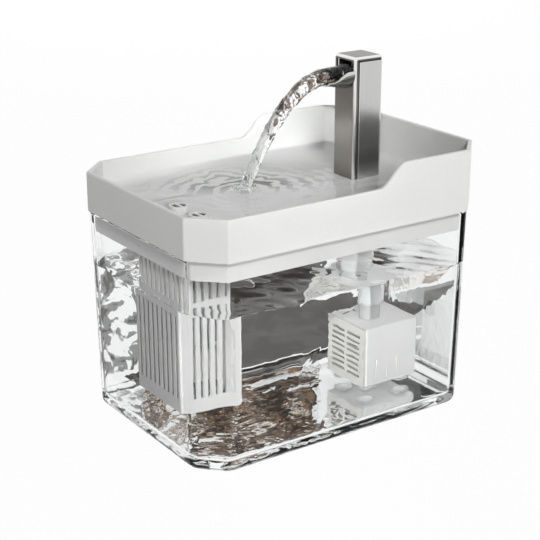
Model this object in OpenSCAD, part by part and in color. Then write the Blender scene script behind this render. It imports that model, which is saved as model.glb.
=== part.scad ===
// Pet water fountain. A clear tank carries a white drinking tray. A pump on the tank floor lifts
// the water through a square steel faucet tower, and the tray drains back through a filter basket.
// The origin is on the ground under the middle. +X points to the faucet end, -Y is the long front.

/* [Tank] */
// Outer length of the tank at its top edge
tank_l = 199; // [190:1:215]
// Outer width of the tank at its top edge
tank_w = 141.8; // [136:0.2:155]
// Height of the tank from its underside to its top edge
tank_h = 124.4; // [118:0.2:140]
// Thickness of the tank's side walls
tank_wall = 4; // [3:0.1:5]
// Thickness of the tank's floor
tank_floor_t = 6; // [4:0.5:8]
// Leg of the cut on each upright corner of the tank
tank_corner = 17; // [12:0.5:20]
// How far each side leans in between the top edge and the foot
tank_lean = 2.2; // [1:0.1:3]
// Rounding of the tank's lower outside edge
tank_edge_r = 6; // [4:0.5:7]
// Radius of a clear pad under the tank
pad_r = 5; // [4:0.5:7]
// Full thickness of a pad
pad_t = 1.6; // [1.4:0.1:2]
// How far the pads stand out under the tank
pad_proud = 0.6; // [0.4:0.1:1]
// Distance of each pad's middle from the tank's end and side
pad_inset = 24; // [20:1:30]

/* [Tray] */
// How far the tray's wall stands out past the tank's top edge
tray_proud = 0.5; // [0.3:0.1:1]
// Leg of the cut on each upright corner of the tray
tray_corner = 17.2; // [14:0.2:20]
// Thickness of the tray's wall at the rim
tray_wall = 2.6; // [2:0.1:3.2]
// Thickness of the basin's floor
tray_floor_t = 4.4; // [4:0.1:6]
// Height of the low rim over the tray's underside
low_rim_h = 23.9; // [20:0.1:28]
// Height of the high rim over the tray's underside
high_rim_h = 36.9; // [33:0.1:42]
// Length of the slope that joins the low rim and the high rim
rim_slope_l = 19; // [12:0.5:26]
// Distance from the tower's axis to the top of that slope
rim_slope_back = 20; // [16:0.5:26]
// Width of the curve between the basin's wall and its floor
basin_curve_w = 14; // [10:0.5:18]
// Height of that curve
basin_curve_h = 9; // [6:0.5:12]
// How far the skirt reaches down inside the tank
skirt_h = 12.3; // [9:0.1:15]
// Thickness of the skirt
skirt_t = 2.4; // [2:0.1:3]
// Width of the notch for the pump's lead in the tray's rear end
notch_w = 8; // [6:0.5:10]
// Height of that notch over the tray's underside
notch_h = 3; // [2:0.5:4]
// Distance of that notch from the middle, along the rear end
notch_y = 30; // [20:1:40]

/* [Riser] */
// Outer radius of the riser under the tray
riser_r = 11; // [10.5:0.1:12]
// Radius of the water way through the riser and its spigot
riser_bore_r = 5; // [4:0.1:5.4]
// Radius of the spigot that the faucet stands on
spigot_r = 6.5; // [6.2:0.1:7]
// Height of the spigot over the basin's floor
spigot_h = 12; // [9:0.5:15]
// Section radius of the seal ring on the spigot
seal_ring_r = 0.8; // [0.6:0.1:1]
// Depth of the groove that holds the seal ring
seal_groove = 0.9; // [0.7:0.1:1]

/* [Faucet tower] */
// Distance from the tray's rear end to the tower's axis
tower_end = 44; // [40:1:50]
// Depth of the tower, front to back
tower_l = 21.3; // [20.5:0.1:24]
// Width of the tower
tower_w = 21; // [20.6:0.1:24]
// Height of the tower over the basin's floor
tower_h = 80.1; // [70:0.1:95]
// Thickness of the wrapped steel sleeve
sleeve_t = 0.6; // [0.5:0.1:0.8]
// Radius of the sleeve's rear corners
sleeve_r = 2.5; // [2:0.1:3]
// How far the sleeve's front edges stand behind the front plate's face
sleeve_back = 0.6; // [0.3:0.1:1]
// How far the sleeve ends below the tower's top
sleeve_drop = 0.4; // [0.2:0.1:1]
// Width of the dark joint beside the front plate
joint_w = 1.3; // [1:0.1:1.6]
// Thickness of the folded front plate
plate_t = 1; // [0.8:0.1:1.3]
// Radius of the front plate's folded edges
plate_r = 3; // [2.4:0.1:3.4]
// How far the front plate's sides are folded back
plate_return = 4; // [3.6:0.1:5]
// Width of the mouth in the front plate
mouth_w = 14; // [11:0.5:15]
// Height of the mouth
mouth_h = 9.5; // [7:0.5:11]
// Distance from the tower's top to the mouth
mouth_drop = 2.6; // [2:0.1:4]

/* [Spout] */
// How far the spout stands out of the front plate
spout_reach = 15.4; // [12:0.2:20]
// Sheet thickness of the spout
spout_t = 1; // [0.8:0.1:1.2]
// Width of the spout at the front plate
spout_root_w = 20.4; // [16:0.2:20.6]
// Width of the spout at its lip
spout_lip_w = 13; // [10:0.5:16]
// Drop from the tower's top to the spout's rim at the front plate
root_rim_drop = 8.4; // [7:0.1:11]
// Drop from the tower's top to the spout's bed at the front plate
root_bed_drop = 19.5; // [16:0.1:22]
// Drop from the tower's top to the spout's rim at the lip
lip_rim_drop = 14.3; // [12:0.1:16]
// Drop from the tower's top to the spout's bed at the lip
lip_bed_drop = 17; // [16.5:0.1:19]

/* [Filter basket] */
// Distance from the tray's low end to the basket's middle
basket_end = 27; // [26:0.5:34]
// Distance of the basket's middle from the tray's middle, to the front
basket_side = 12; // [0:0.5:20]
// Size of the basket along the tray
basket_l = 32; // [28:0.5:34]
// Size of the basket across the tray
basket_w = 50; // [44:0.5:60]
// Clear height under the basket, over the tank's floor
basket_lift_h = 22; // [12:0.5:40]
// Thickness of the basket's walls
basket_wall = 1.8; // [1.4:0.1:2.2]
// Rounding of the basket's upright edges
basket_r = 2.4; // [2:0.1:3]
// How far the basket's flange stands out
flange_out = 3.5; // [3:0.1:4]
// Thickness of the flange
flange_t = 1.8; // [1.4:0.1:2]
// Width of an upright slot in the basket
slot_w = 2.4; // [1.8:0.1:3]
// Distance from slot to slot
slot_pitch = 5; // [4.4:0.1:6]
// Height of the plain band at the basket's foot and head
band_h = 8; // [5:0.5:12]
// Height of the plain band round the basket at the water line
mid_band_h = 7; // [4:0.5:10]
// Height of that band's middle over the basket's foot
mid_band_up = 61; // [50:1:66]
// Thickness of the foam pad at the basket's foot
sponge_h = 12; // [8:0.5:14]
// Height of the resin pouch
resin_h = 22; // [16:0.5:24]
// Height of the carbon pouch
carbon_h = 24; // [18:0.5:26]
// Thickness of the cotton pad on top
cotton_h = 12; // [8:0.5:14]
// Thickness of the lid's plate
lid_t = 2.2; // [1.8:0.1:3]
// Outer radius of a standpipe on the lid
pipe_r = 5.5; // [5:0.1:6]
// Bore radius of a standpipe
pipe_bore_r = 4; // [3:0.1:4.2]
// Height of a standpipe over the lid's plate
pipe_h = 8.4; // [6:0.2:11]
// Distance between the two standpipes
pipe_pitch = 21; // [16:0.5:24]
// Distance of the pair from the basket's middle, to the front
pipe_side = 6.9; // [0:0.1:7]
// Distance of the pair from the basket's middle, to the low end
pipe_back = 2.3; // [0:0.1:6]
// Thickness of the bar across a standpipe
bar_t = 1.6; // [1.2:0.1:2]

/* [Pump] */
// Length of the pump along the tank
pump_l = 42; // [41:0.5:44]
// Width of the pump across the tank
pump_w = 46; // [45.5:0.5:50]
// Height of the pump's housing
pump_h = 38; // [37:0.5:42]
// Distance from the outlet's axis to the pump's louvred face
pump_front = 18; // [17.5:0.1:18.5]
// Distance of the pump's middle from the outlet's axis, to the rear side
pump_side = 1; // [0.5:0.1:1.5]
// Wall thickness of the pump's housing
pump_wall = 1.8; // [1.5:0.1:2]
// Rounding of the housing's upright rear edges
pump_r = 1.6; // [1:0.1:1.8]
// Height of the suction cups under the housing
cup_h = 3; // [2.4:0.1:4]
// Radius of a suction cup
cup_r = 6.5; // [5:0.1:7]
// Distance of each cup from the housing's ends and sides
cup_inset = 8; // [7.5:0.1:10]
// Outer radius of the outlet
nozzle_r = 6.85; // [6.5:0.05:7]
// Height of the outlet over the housing
nozzle_h = 26; // [20:0.5:30]
// Height of the outlet's collar over the housing
collar_up = 9; // [6:0.5:11]
// Thickness of that collar
collar_t = 1.2; // [1:0.1:2]
// Wall thickness of the hose coupling
coupling_t = 1.9; // [1.6:0.1:2]
// Length of the hose coupling
coupling_l = 32; // [28:0.5:36]
// Length of the hose coupling that shows under the riser
coupling_show = 13; // [10:0.5:14]
// Thickness of the louvred cover
strainer_t = 2; // [1.6:0.1:2.4]
// Depth of the cover's rim inside the housing
strainer_plug = 4; // [3:0.1:4.4]
// Height of a louvre slot
louvre_h = 1.7; // [1.2:0.1:2]
// Distance from louvre to louvre
louvre_pitch = 3.7; // [3.2:0.1:4.2]
// Number of louvres in each column
louvre_count = 8; // [6:1:8]
// Width of the plain bar between the two columns
louvre_bar = 3; // [2:0.5:5]

/* [Pump works] */
// Inner radius of the impeller chamber
chamber_r = 13.2; // [12.8:0.1:13.4]
// Length of the impeller chamber
chamber_l = 12; // [11:0.1:12.4]
// Wall thickness of the chamber and its cover
chamber_t = 1.6; // [1.4:0.1:1.7]
// Radius of the round eye in the chamber's cover
eye_r = 7; // [6:0.1:8]
// Radius of the shaft
shaft_r = 1.5; // [1:0.1:1.6]
// Radius of the rotor magnet
rotor_r = 8; // [7.4:0.1:8.1]
// Length of the rotor magnet
rotor_l = 9; // [7:0.1:9.5]
// Radius of the impeller's hub
hub_r = 4; // [3.6:0.1:4.4]
// Radius over the impeller's blades
blade_r = 12; // [10:0.1:12.2]
// Width of a blade along the shaft
blade_w = 8; // [6:0.1:8.4]
// Thickness of a blade
blade_t = 1.2; // [1:0.1:1.6]
// Number of blades
blade_count = 6; // [4:1:7]
// Thickness of the stator's core along the shaft
core_l = 7; // [6:0.1:7.4]
// Width of the regulator's thumb tab
tab_l = 6; // [4:0.5:6.5]
// Travel of the regulator
regulator_travel = 4; // [3:0.1:4.2]

/* [Hidden] */
$fn = 48;
// Overrun of every cut
cut = 1;
// Thickness of a slab that stands for a level in a blended shape
thin = 0.01;
// Gap at each lift-off seat
seat_gap = 0.3;
// Gap round a part that slides in or out
slide_gap = 0.5;
// Gap round a part fixed inside another
fit_gap = 0.2;
// Radial gap of a running fit
run_gap = 0.05;
// Steps in a blended curve
curve_steps = 6;

// Levels
tank_z = pad_proud;
floor_z = tank_z + tank_floor_t;
tank_top = tank_z + tank_h;
tray_z = tank_top + seat_gap;
basin_z = tray_z + tray_floor_t;
high_rim_z = tray_z + high_rim_h;
skirt_z = tray_z - skirt_h;
tower_top = basin_z + tower_h;

// Tray plan
tray_l = tank_l + 2 * tray_proud;
tray_w = tank_w + 2 * tray_proud;
skirt_inset = tank_wall + tank_lean * skirt_h / tank_h + slide_gap;
tower_x = tray_l / 2 - tower_end;
slope_end = tower_x - rim_slope_back;
slope_start = slope_end - rim_slope_l;

// Basket
basket_x = basket_end - tray_l / 2;
basket_z = floor_z + basket_lift_h;
pocket_depth = flange_t + seat_gap;
flange_z = basin_z - flange_t;
basket_h = flange_z - basket_z;
pouch_l = basket_l - 2 * (basket_wall + slide_gap);
pouch_w = basket_w - 2 * (basket_wall + slide_gap);
pouch_r = basket_r / 2;
media_z = basket_z + basket_wall + seat_gap;
resin_z = media_z + sponge_h + seat_gap;
carbon_z = resin_z + resin_h + seat_gap;
cotton_z = carbon_z + carbon_h + seat_gap;
lid_z = basin_z + seat_gap;
pipe_x = basket_x - pipe_back;
pipe_y = -basket_side - pipe_side;

// Tower
plate_x = tower_x - tower_l / 2;
sleeve_x = plate_x + sleeve_back;
tower_back = tower_x + tower_l / 2;
sleeve_inner_w = tower_w - 2 * sleeve_t;
plate_w = sleeve_inner_w - 2 * joint_w;
tower_z = basin_z + seat_gap;
plate_back = tower_back - sleeve_t - fit_gap;
duct_w = sleeve_inner_w - 2 * fit_gap;
duct_nose_w = plate_w - 2 * (plate_t + fit_gap);
duct_top = tower_top - plate_t - fit_gap;
mouth_z = tower_top - mouth_drop - mouth_h;
seal_out_r = spigot_r - seal_groove + 2 * seal_ring_r;
duct_socket_r = seal_out_r + seat_gap;

// Pump shell
pump_x = tower_x - pump_front;
pump_y = pump_side - pump_w / 2;
pump_z = floor_z + cup_h;
pump_top = pump_z + pump_h;
pump_back = pump_x + pump_l;
mouth_x = pump_x + strainer_t;
axis_z = pump_z + pump_h / 2;
cup_neck_r = cup_r / 3;

// Outlet and riser
collar_z = pump_top + collar_up;
collar_r = nozzle_r + collar_t;
coupling_z = collar_z + collar_t;
coupling_bore_r = nozzle_r + fit_gap;
coupling_r = coupling_bore_r + coupling_t;
coupling_top = coupling_z + coupling_l;
riser_z = coupling_z + coupling_show;
riser_socket_r = coupling_r + seat_gap;
riser_socket_top = coupling_top + collar_t;

// Impeller chamber, well and rotor
chamber_x = tower_x - chamber_l / 2;
chamber_back = chamber_x + chamber_l;
volute_r = chamber_r + chamber_t;
rotor_gap = 3 * fit_gap;
well_bore_r = rotor_r + rotor_gap;
well_r = well_bore_r + chamber_t * 3 / 4;
bush_l = 2 * shaft_r;
rotor_x = chamber_back + rotor_gap;
rotor_back = rotor_x + rotor_l;
bush_x = rotor_back + 2 * fit_gap;
well_back = bush_x + bush_l;
well_end = well_back + chamber_t * 3 / 4;
running_r = shaft_r + run_gap;
bush_r = 2 * shaft_r;
cover_x = chamber_x - chamber_t;
spider_r = bush_r + fit_gap + chamber_t;
front_bush_x = chamber_x - bush_l;
shaft_back = bush_x + bush_l;

// Motor block
pot_x = chamber_back + chamber_t + seat_gap;
pot_back = pump_back - pump_wall - fit_gap;
pot_y = pump_y + pump_wall + fit_gap;
pot_w = pump_w - 2 * (pump_wall + fit_gap);
pot_z = pump_z + pump_wall + fit_gap;
pot_h = pump_h - 2 * (pump_wall + fit_gap);
pot_back_t = fit_gap * 6;
core_x = pot_back - pot_back_t - core_l - chamber_t;
core_bore_r = well_r + 2 * fit_gap;
core_arm = core_bore_r / 2;
core_front = -core_bore_r - chamber_t;
yoke_y = core_bore_r + core_arm * 4 / 5;
yoke_t = core_arm * 4 / 5;
core_h = 2 * (core_bore_r + core_arm);
coil_h = 2 * core_bore_r - core_arm;
coil_t = yoke_t * 3 / 5;
board_t = chamber_t * 3 / 4;
board_y = pot_y + chamber_t;
board_h = pot_h - 4 * chamber_t;

// Regulator
tab_w = 2 * shaft_r;
tab_y = pump_y + pump_w - pump_wall - 2 * tab_w;
vane_t = chamber_t;
vane_x = mouth_x + strainer_t / 2;
tab_x = mouth_x + strainer_plug + 2 * slide_gap;
slot_x = tab_x - slide_gap;
slot_l = tab_l + regulator_travel + 2 * slide_gap;
rail_t = chamber_t;
regulator_h = 2 * rail_t;
regulator_z = pump_top - pump_wall - seat_gap - regulator_h;
arm_z = pump_top - pump_wall - slide_gap - 2 * rail_t - seat_gap;

// Cable gland
gland_bore_r = 2;
gland_neck_r = gland_bore_r + pump_wall * 3 / 4;
gland_flange_r = gland_neck_r + pump_wall;
gland_l = 2 * pump_wall;
gland_y = pump_side + pump_w / 4;
gland_z = axis_z + pump_h / 4;

// Rises from 0 to 1 with level ends
function ease(t) = t * t * (3 - 2 * t);
function mix(a, b, t) = a + (b - a) * t;
// Leg of a corner cut after the outline moves in by d, so that the wall keeps its thickness
function cut_leg(c, d) = c - d * (2 - sqrt(2));
function rim_z(t) = tray_z + mix(low_rim_h, high_rim_h, ease(t));

// Outline with cut corners, moved in by d
module outline(l, w, c, d = 0) {
    x = l / 2 - d;
    y = w / 2 - d;
    k = cut_leg(c, d);
    polygon([
        [-x + k, -y], [x - k, -y], [x, -y + k], [x, y - k],
        [x - k, y], [-x + k, y], [-x, y - k], [-x, -y + k]
    ]);
}

// One level of a blended shell, with its underside at z
module level(l, w, c, d, z) {
    translate([0, 0, z])
        linear_extrude(thin)
            outline(l, w, c, d);
}

// Rectangle with round corners, centred
module round_rect(l, w, r) {
    square([l - 2 * r, w], center = true);
    square([l, w - 2 * r], center = true);
    for (sx = [-1, 1], sy = [-1, 1])
        translate([sx * (l / 2 - r), sy * (w / 2 - r)])
            circle(r);
}

// Block with round upright edges, centred on x and y with its foot at z
module round_block(x, y, z, l, w, h, r) {
    translate([x, y, z])
        linear_extrude(h)
            round_rect(l, w, r);
}

// Cylinder along X that starts at x, on the pump's axis
module along_x(x, l, r) {
    translate([x, 0, axis_z])
        rotate([0, 90, 0])
            cylinder(r = r, h = l);
}

// Outside of the tank with its round foot
module tank_outside() {
    hull() {
        for (i = [0 : curve_steps]) {
            a = 90 * i / curve_steps;
            level(tank_l, tank_w, tank_corner, tank_lean + tank_edge_r * (1 - sin(a)),
                tank_z + tank_edge_r * (1 - cos(a)));
        }
        level(tank_l, tank_w, tank_corner, 0, tank_top - thin);
    }
}

// Space inside the tank
module tank_inside() {
    inner_r = tank_edge_r - tank_wall / 2;
    hull() {
        for (i = [0 : curve_steps]) {
            a = 90 * i / curve_steps;
            level(tank_l, tank_w, tank_corner, tank_wall + tank_lean + inner_r * (1 - sin(a)),
                floor_z + inner_r * (1 - cos(a)));
        }
        level(tank_l, tank_w, tank_corner, tank_wall, tank_top);
    }
    translate([0, 0, tank_top - thin])
        linear_extrude(cut)
            outline(tank_l, tank_w, tank_corner, tank_wall);
}

module pad_places() {
    for (sx = [-1, 1], sy = [-1, 1])
        translate([sx * (tank_l / 2 - pad_inset), sy * (tank_w / 2 - pad_inset), 0])
            children();
}

module tank() {
    color([0.86, 0.9, 0.92, 0.35])
        difference() {
            tank_outside();
            tank_inside();
            pad_places()
                translate([0, 0, -cut])
                    cylinder(r = pad_r + fit_gap, h = pad_t + cut);
        }
}

module tank_pads() {
    color([0.8, 0.83, 0.85])
        pad_places()
            cylinder(r = pad_r, h = pad_t);
}

// Space inside the basin, down to its floor
module basin_inside() {
    hull() {
        for (i = [0 : curve_steps]) {
            a = 90 * i / curve_steps;
            level(tray_l, tray_w, tray_corner, tray_wall + basin_curve_w * (1 - sin(a)),
                basin_z + basin_curve_h * (1 - cos(a)));
        }
        level(tray_l, tray_w, tray_corner, tray_wall, high_rim_z + cut);
    }
}

// What lies over the rim, which is low at the drinking end and high round the tower
module over_rim() {
    top = high_rim_z + cut;
    front = -tray_l / 2 - cut;
    translate([0, tray_w / 2 + cut, 0])
        rotate([90, 0, 0])
            linear_extrude(tray_w + 2 * cut)
                polygon(concat(
                    [[front, top], [front, rim_z(0)]],
                    [for (i = [0 : 2 * curve_steps])
                        let (t = i / (2 * curve_steps))
                            [mix(slope_start, slope_end, t), rim_z(t)]],
                    [[slope_end, top]]
                ));
}

module basket_pocket() {
    hole_l = basket_l + 2 * slide_gap;
    hole_w = basket_w + 2 * slide_gap;
    round_block(basket_x, -basket_side, tray_z - cut, hole_l, hole_w,
        tray_floor_t + 2 * cut, basket_r + slide_gap);
    round_block(basket_x, -basket_side, basin_z - pocket_depth, hole_l + 2 * flange_out,
        hole_w + 2 * flange_out, pocket_depth + basin_curve_h, basket_r + slide_gap);
}

module tray() {
    groove_z = basin_z + spigot_h / 2;
    color([0.93, 0.93, 0.92])
        difference() {
            union() {
                difference() {
                    union() {
                        translate([0, 0, tray_z])
                            linear_extrude(high_rim_h)
                                outline(tray_l, tray_w, tray_corner);
                        translate([0, 0, skirt_z])
                            linear_extrude(skirt_h + tray_floor_t / 2)
                                outline(tank_l, tank_w, tank_corner, skirt_inset);
                    }
                    basin_inside();
                    over_rim();
                    translate([0, 0, skirt_z - cut])
                        linear_extrude(skirt_h + cut)
                            outline(tank_l, tank_w, tank_corner, skirt_inset + skirt_t);
                    basket_pocket();
                    translate([tank_l / 2 - skirt_inset - skirt_t - cut, notch_y - notch_w / 2,
                        skirt_z - cut])
                        cube([tank_l, notch_w, skirt_h + notch_h + cut]);
                }
                translate([tower_x, 0, riser_z])
                    cylinder(r = riser_r, h = tray_z + tray_floor_t / 2 - riser_z);
                translate([tower_x, 0, tray_z])
                    cylinder(r = spigot_r, h = tray_floor_t + spigot_h);
            }
            translate([tower_x, 0, riser_z - cut]) {
                cylinder(r = riser_bore_r, h = basin_z + spigot_h + 2 * cut - riser_z);
                cylinder(r = riser_socket_r, h = riser_socket_top + cut - riser_z);
            }
            translate([tower_x, 0, groove_z - seal_ring_r])
                difference() {
                    cylinder(r = spigot_r + cut, h = 2 * seal_ring_r);
                    translate([0, 0, -cut])
                        cylinder(r = spigot_r - seal_groove, h = 2 * (seal_ring_r + cut));
                }
        }
}

// Rubber ring in the spigot's groove
module spigot_seal() {
    color([0.12, 0.12, 0.12])
        translate([tower_x, 0, basin_z + spigot_h / 2])
            rotate_extrude()
                translate([spigot_r - seal_groove + seal_ring_r + run_gap, 0])
                    circle(seal_ring_r - run_gap);
}

// Steel sleeve folded round the tower's two sides and back
module faucet_sleeve() {
    sleeve_l = tower_back - sleeve_x;
    mid = (tower_back + sleeve_x) / 2;
    color([0.62, 0.62, 0.61])
        difference() {
            round_block(mid, 0, tower_z, sleeve_l, tower_w, tower_top - sleeve_drop - tower_z,
                sleeve_r);
            round_block(mid, 0, tower_z - cut, sleeve_l - 2 * sleeve_t, sleeve_inner_w,
                tower_h + 2 * cut, sleeve_r - sleeve_t);
            translate([sleeve_x - cut, -sleeve_inner_w / 2, tower_z - cut])
                cube([sleeve_l / 2 + cut, sleeve_inner_w, tower_h + 2 * cut]);
        }
    color([0.62, 0.62, 0.61])
        for (side = [-1, 1])
            translate([sleeve_x, side * (tower_w - sleeve_t) / 2 - sleeve_t / 2, tower_z])
                cube([sleeve_r + sleeve_t, sleeve_t, tower_top - sleeve_drop - tower_z]);
}

// Side view of the folded plate: front, round top edge and top
module plate_side_view() {
    translate([0, tower_w / 2, 0])
        rotate([90, 0, 0])
            linear_extrude(tower_w)
                union() {
                    translate([plate_x, tower_z])
                        square([tower_l, tower_top - plate_r - tower_z]);
                    translate([plate_x + plate_r, tower_top - 2 * plate_r])
                        square([tower_l, 2 * plate_r]);
                    translate([plate_x + plate_r, tower_top - plate_r])
                        circle(plate_r);
                }
}

// Front plate with folded sides, which turns back over the tower's top
module faucet_front_plate() {
    plate_l = plate_back - plate_x;
    mid = (plate_back + plate_x) / 2;
    color([0.4, 0.4, 0.39])
        difference() {
            intersection() {
                difference() {
                    round_block(mid, 0, tower_z, plate_l, plate_w, tower_top - tower_z, plate_r);
                    round_block(mid, 0, tower_z - cut, plate_l - 2 * plate_t,
                        plate_w - 2 * plate_t, tower_top - plate_t + cut - tower_z,
                        plate_r - plate_t);
                    translate([plate_x + plate_return, -tower_w / 2, tower_z - cut])
                        cube([tower_l, tower_w, tower_top - plate_t + cut - tower_z]);
                }
                plate_side_view();
            }
            translate([plate_x - cut, -mouth_w / 2, mouth_z])
                cube([plate_return, mouth_w, mouth_h]);
        }
}

// Black moulded core of the tower, with the water way and the chamber behind the mouth
module faucet_duct() {
    nose_x = plate_x + plate_t + fit_gap;
    body_x = plate_x + plate_return + fit_gap;
    body_l = plate_back - body_x;
    chamber_floor = mouth_z;
    color([0.07, 0.07, 0.07])
        difference() {
            union() {
                round_block(body_x + body_l / 2, 0, tower_z, body_l, duct_w, duct_top - tower_z,
                    sleeve_r - sleeve_t);
                round_block(nose_x + body_l / 4, 0, tower_z, body_l / 2, duct_nose_w,
                    duct_top - plate_r - tower_z, plate_r - plate_t);
            }
            translate([tower_x, 0, tower_z - cut]) {
                cylinder(r = duct_socket_r, h = spigot_h + cut + seat_gap);
                cylinder(r = riser_bore_r, h = chamber_floor + 2 * cut - tower_z);
            }
            translate([nose_x - cut, -mouth_w / 2, chamber_floor])
                cube([tower_x + riser_bore_r + cut - nose_x, mouth_w, mouth_h - plate_t]);
        }
}

// Cross-section values of the spout at share t of its reach
function spout_half_w(t) = mix(spout_root_w, spout_lip_w, ease(t)) / 2;
function spout_rim_z(t) = tower_top - mix(root_rim_drop, lip_rim_drop, ease(t));
function spout_bed_z(t) = tower_top - mix(root_bed_drop, lip_bed_drop, ease(t));
function spout_point(t, a, d) = [
    plate_x - spout_reach * t,
    -(spout_half_w(t) - d) * cos(a),
    spout_rim_z(t) - (spout_rim_z(t) - spout_bed_z(t) - d) * sin(a)
];

// Thin scoop, deep at the front plate and shallow at its lip
module spout() {
    runs = 2 * curve_steps;
    sides = 2 * curve_steps;
    ring = 2 * (sides + 1);
    points = [for (i = [0 : runs], j = [0 : ring - 1])
        j <= sides ? spout_point(i / runs, 180 * j / sides, 0)
            : spout_point(i / runs, 180 * (ring - 1 - j) / sides, spout_t)];
    skin = [for (i = [0 : runs - 1], j = [0 : ring - 1])
        let (a = i * ring + j, b = i * ring + (j + 1) % ring)
            each [[a, b, b + ring], [a, b + ring, a + ring]]];
    ends = [for (s = [0, runs * ring], j = [0 : sides - 1])
        let (a = s + j, b = s + j + 1, c = s + ring - 2 - j, d = s + ring - 1 - j)
            each s == 0 ? [[a, c, b], [a, d, c]] : [[a, b, c], [a, c, d]]];
    color([0.55, 0.55, 0.54])
        polyhedron(points, concat(skin, ends));
}

// Upright slots through the two walls that face along Y, or along X with turned
module basket_slots(l, z, h) {
    count = floor((l - 2 * (basket_wall + slot_w)) / slot_pitch);
    for (i = [0 : count])
        translate([(i - count / 2) * slot_pitch - slot_w / 2, -basket_w, z])
            cube([slot_w, 2 * basket_w, h]);
}

module filter_basket() {
    mid_z = basket_z + mid_band_up - mid_band_h / 2;
    low_z = basket_z + band_h;
    high_z = mid_z + mid_band_h;
    head_z = flange_z - band_h;
    color([0.9, 0.9, 0.89])
        difference() {
            union() {
                round_block(basket_x, -basket_side, basket_z, basket_l, basket_w,
                    basket_h + flange_t, basket_r);
                round_block(basket_x, -basket_side, flange_z, basket_l + 2 * flange_out,
                    basket_w + 2 * flange_out, flange_t, basket_r);
            }
            round_block(basket_x, -basket_side, basket_z + basket_wall,
                basket_l - 2 * basket_wall, basket_w - 2 * basket_wall, basket_h + tray_floor_t,
                basket_r / 2);
            for (span = [[low_z, mid_z - low_z], [high_z, head_z - high_z]])
                translate([basket_x, -basket_side, 0]) {
                    basket_slots(basket_l, span[0], span[1]);
                    rotate([0, 0, 90])
                        basket_slots(basket_w, span[0], span[1]);
                }
            translate([basket_x, -basket_side, 0])
                intersection() {
                    basket_slots(basket_l, basket_z - cut, basket_wall + 2 * cut);
                    translate([-basket_l, -basket_w / 2 + band_h, basket_z - cut])
                        cube([2 * basket_l, basket_w - 2 * band_h, basket_wall + 2 * cut]);
                }
        }
}

module foam_pad() {
    color([0.75, 0.77, 0.78])
        round_block(basket_x, -basket_side, media_z, pouch_l, pouch_w, sponge_h, pouch_r);
}

module resin_pouch() {
    color([0.88, 0.86, 0.8])
        round_block(basket_x, -basket_side, resin_z, pouch_l, pouch_w, resin_h, pouch_r);
}

module carbon_pouch() {
    color([0.8, 0.8, 0.8])
        round_block(basket_x, -basket_side, carbon_z, pouch_l, pouch_w, carbon_h, pouch_r);
}

module cotton_pad() {
    color([0.95, 0.95, 0.94])
        round_block(basket_x, -basket_side, cotton_z, pouch_l, pouch_w, cotton_h, pouch_r);
}

// Lid over the basket, with two standpipes that set the basin's water level
module filter_lid() {
    top_z = lid_z + lid_t + pipe_h;
    color([0.92, 0.92, 0.91]) {
        difference() {
            union() {
                round_block(basket_x, -basket_side, lid_z, basket_l + 2 * flange_out,
                    basket_w + 2 * flange_out, lid_t, basket_r);
                for (side = [-1, 1])
                    translate([pipe_x, pipe_y + side * pipe_pitch / 2, lid_z])
                        cylinder(r = pipe_r, h = lid_t + pipe_h);
            }
            for (side = [-1, 1])
                translate([pipe_x, pipe_y + side * pipe_pitch / 2, lid_z - cut])
                    difference() {
                        cylinder(r = pipe_bore_r, h = lid_t + pipe_h + 2 * cut);
                        translate([-bar_t / 2, -pipe_r, lid_t + cut + pipe_h / 2])
                            cube([bar_t, 2 * pipe_r, pipe_h / 2]);
                    }
        }
    }
}

// Soft sleeve that joins the pump's outlet to the tray's riser
module hose_coupling() {
    color([0.85, 0.86, 0.86])
        translate([tower_x, 0, coupling_z])
            difference() {
                cylinder(r = coupling_r, h = coupling_l);
                translate([0, 0, -cut])
                    cylinder(r = coupling_bore_r, h = coupling_l + 2 * cut);
            }
}

module cup_places() {
    for (x = [pump_x + cup_inset, pump_back - cup_inset],
        y = [pump_y + cup_inset, pump_y + pump_w - cup_inset])
        translate([x, y, 0])
            children();
}

// Housing, open at its louvred end
module pump_housing() {
    shell_l = pump_back - mouth_x;
    mid = (pump_back + mouth_x) / 2;
    side_slots = 3;
    side_pitch = (tower_x - mouth_x) / 2;
    color([0.94, 0.94, 0.93])
        difference() {
            union() {
                difference() {
                    round_block(mid, pump_side, pump_z, shell_l, pump_w, pump_h, pump_r);
                    translate([mouth_x - cut, pump_y + pump_wall, pump_z + pump_wall])
                        cube([shell_l + cut - pump_wall, pump_w - 2 * pump_wall,
                            pump_h - 2 * pump_wall]);
                }
                // Rail that carries the regulator
                translate([tab_x, tab_y + tab_w + seat_gap, regulator_z - seat_gap - rail_t])
                    cube([slot_l + tab_l / 2, tab_w - seat_gap + pump_wall / 2, rail_t]);
            }
            translate([mouth_x - cut, pump_y - cut, pump_z - cut])
                cube([cut + thin, pump_w + 2 * cut, pump_h + 2 * cut]);
            translate([tower_x, 0, pump_top - pump_wall - cut])
                cylinder(r = nozzle_r + seat_gap, h = pump_wall + 2 * cut);
            translate([slot_x, tab_y - slide_gap, pump_top - pump_wall - cut])
                cube([slot_l, tab_w + 2 * slide_gap, pump_wall + 2 * cut]);
            translate([pump_back - pump_wall - cut, gland_y, gland_z])
                rotate([0, 90, 0])
                    cylinder(r = gland_neck_r + run_gap, h = pump_wall + 2 * cut);
            cup_places()
                translate([0, 0, pump_z - cut])
                    cylinder(r = cup_neck_r + fit_gap, h = pump_wall + 2 * cut);
            for (i = [1 : side_slots])
                translate([mouth_x + i * side_pitch, pump_y - cut, pump_z + 2 * pump_wall])
                    cube([louvre_h / 2, pump_wall + 2 * cut, pump_h / 3]);
        }
}

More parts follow.
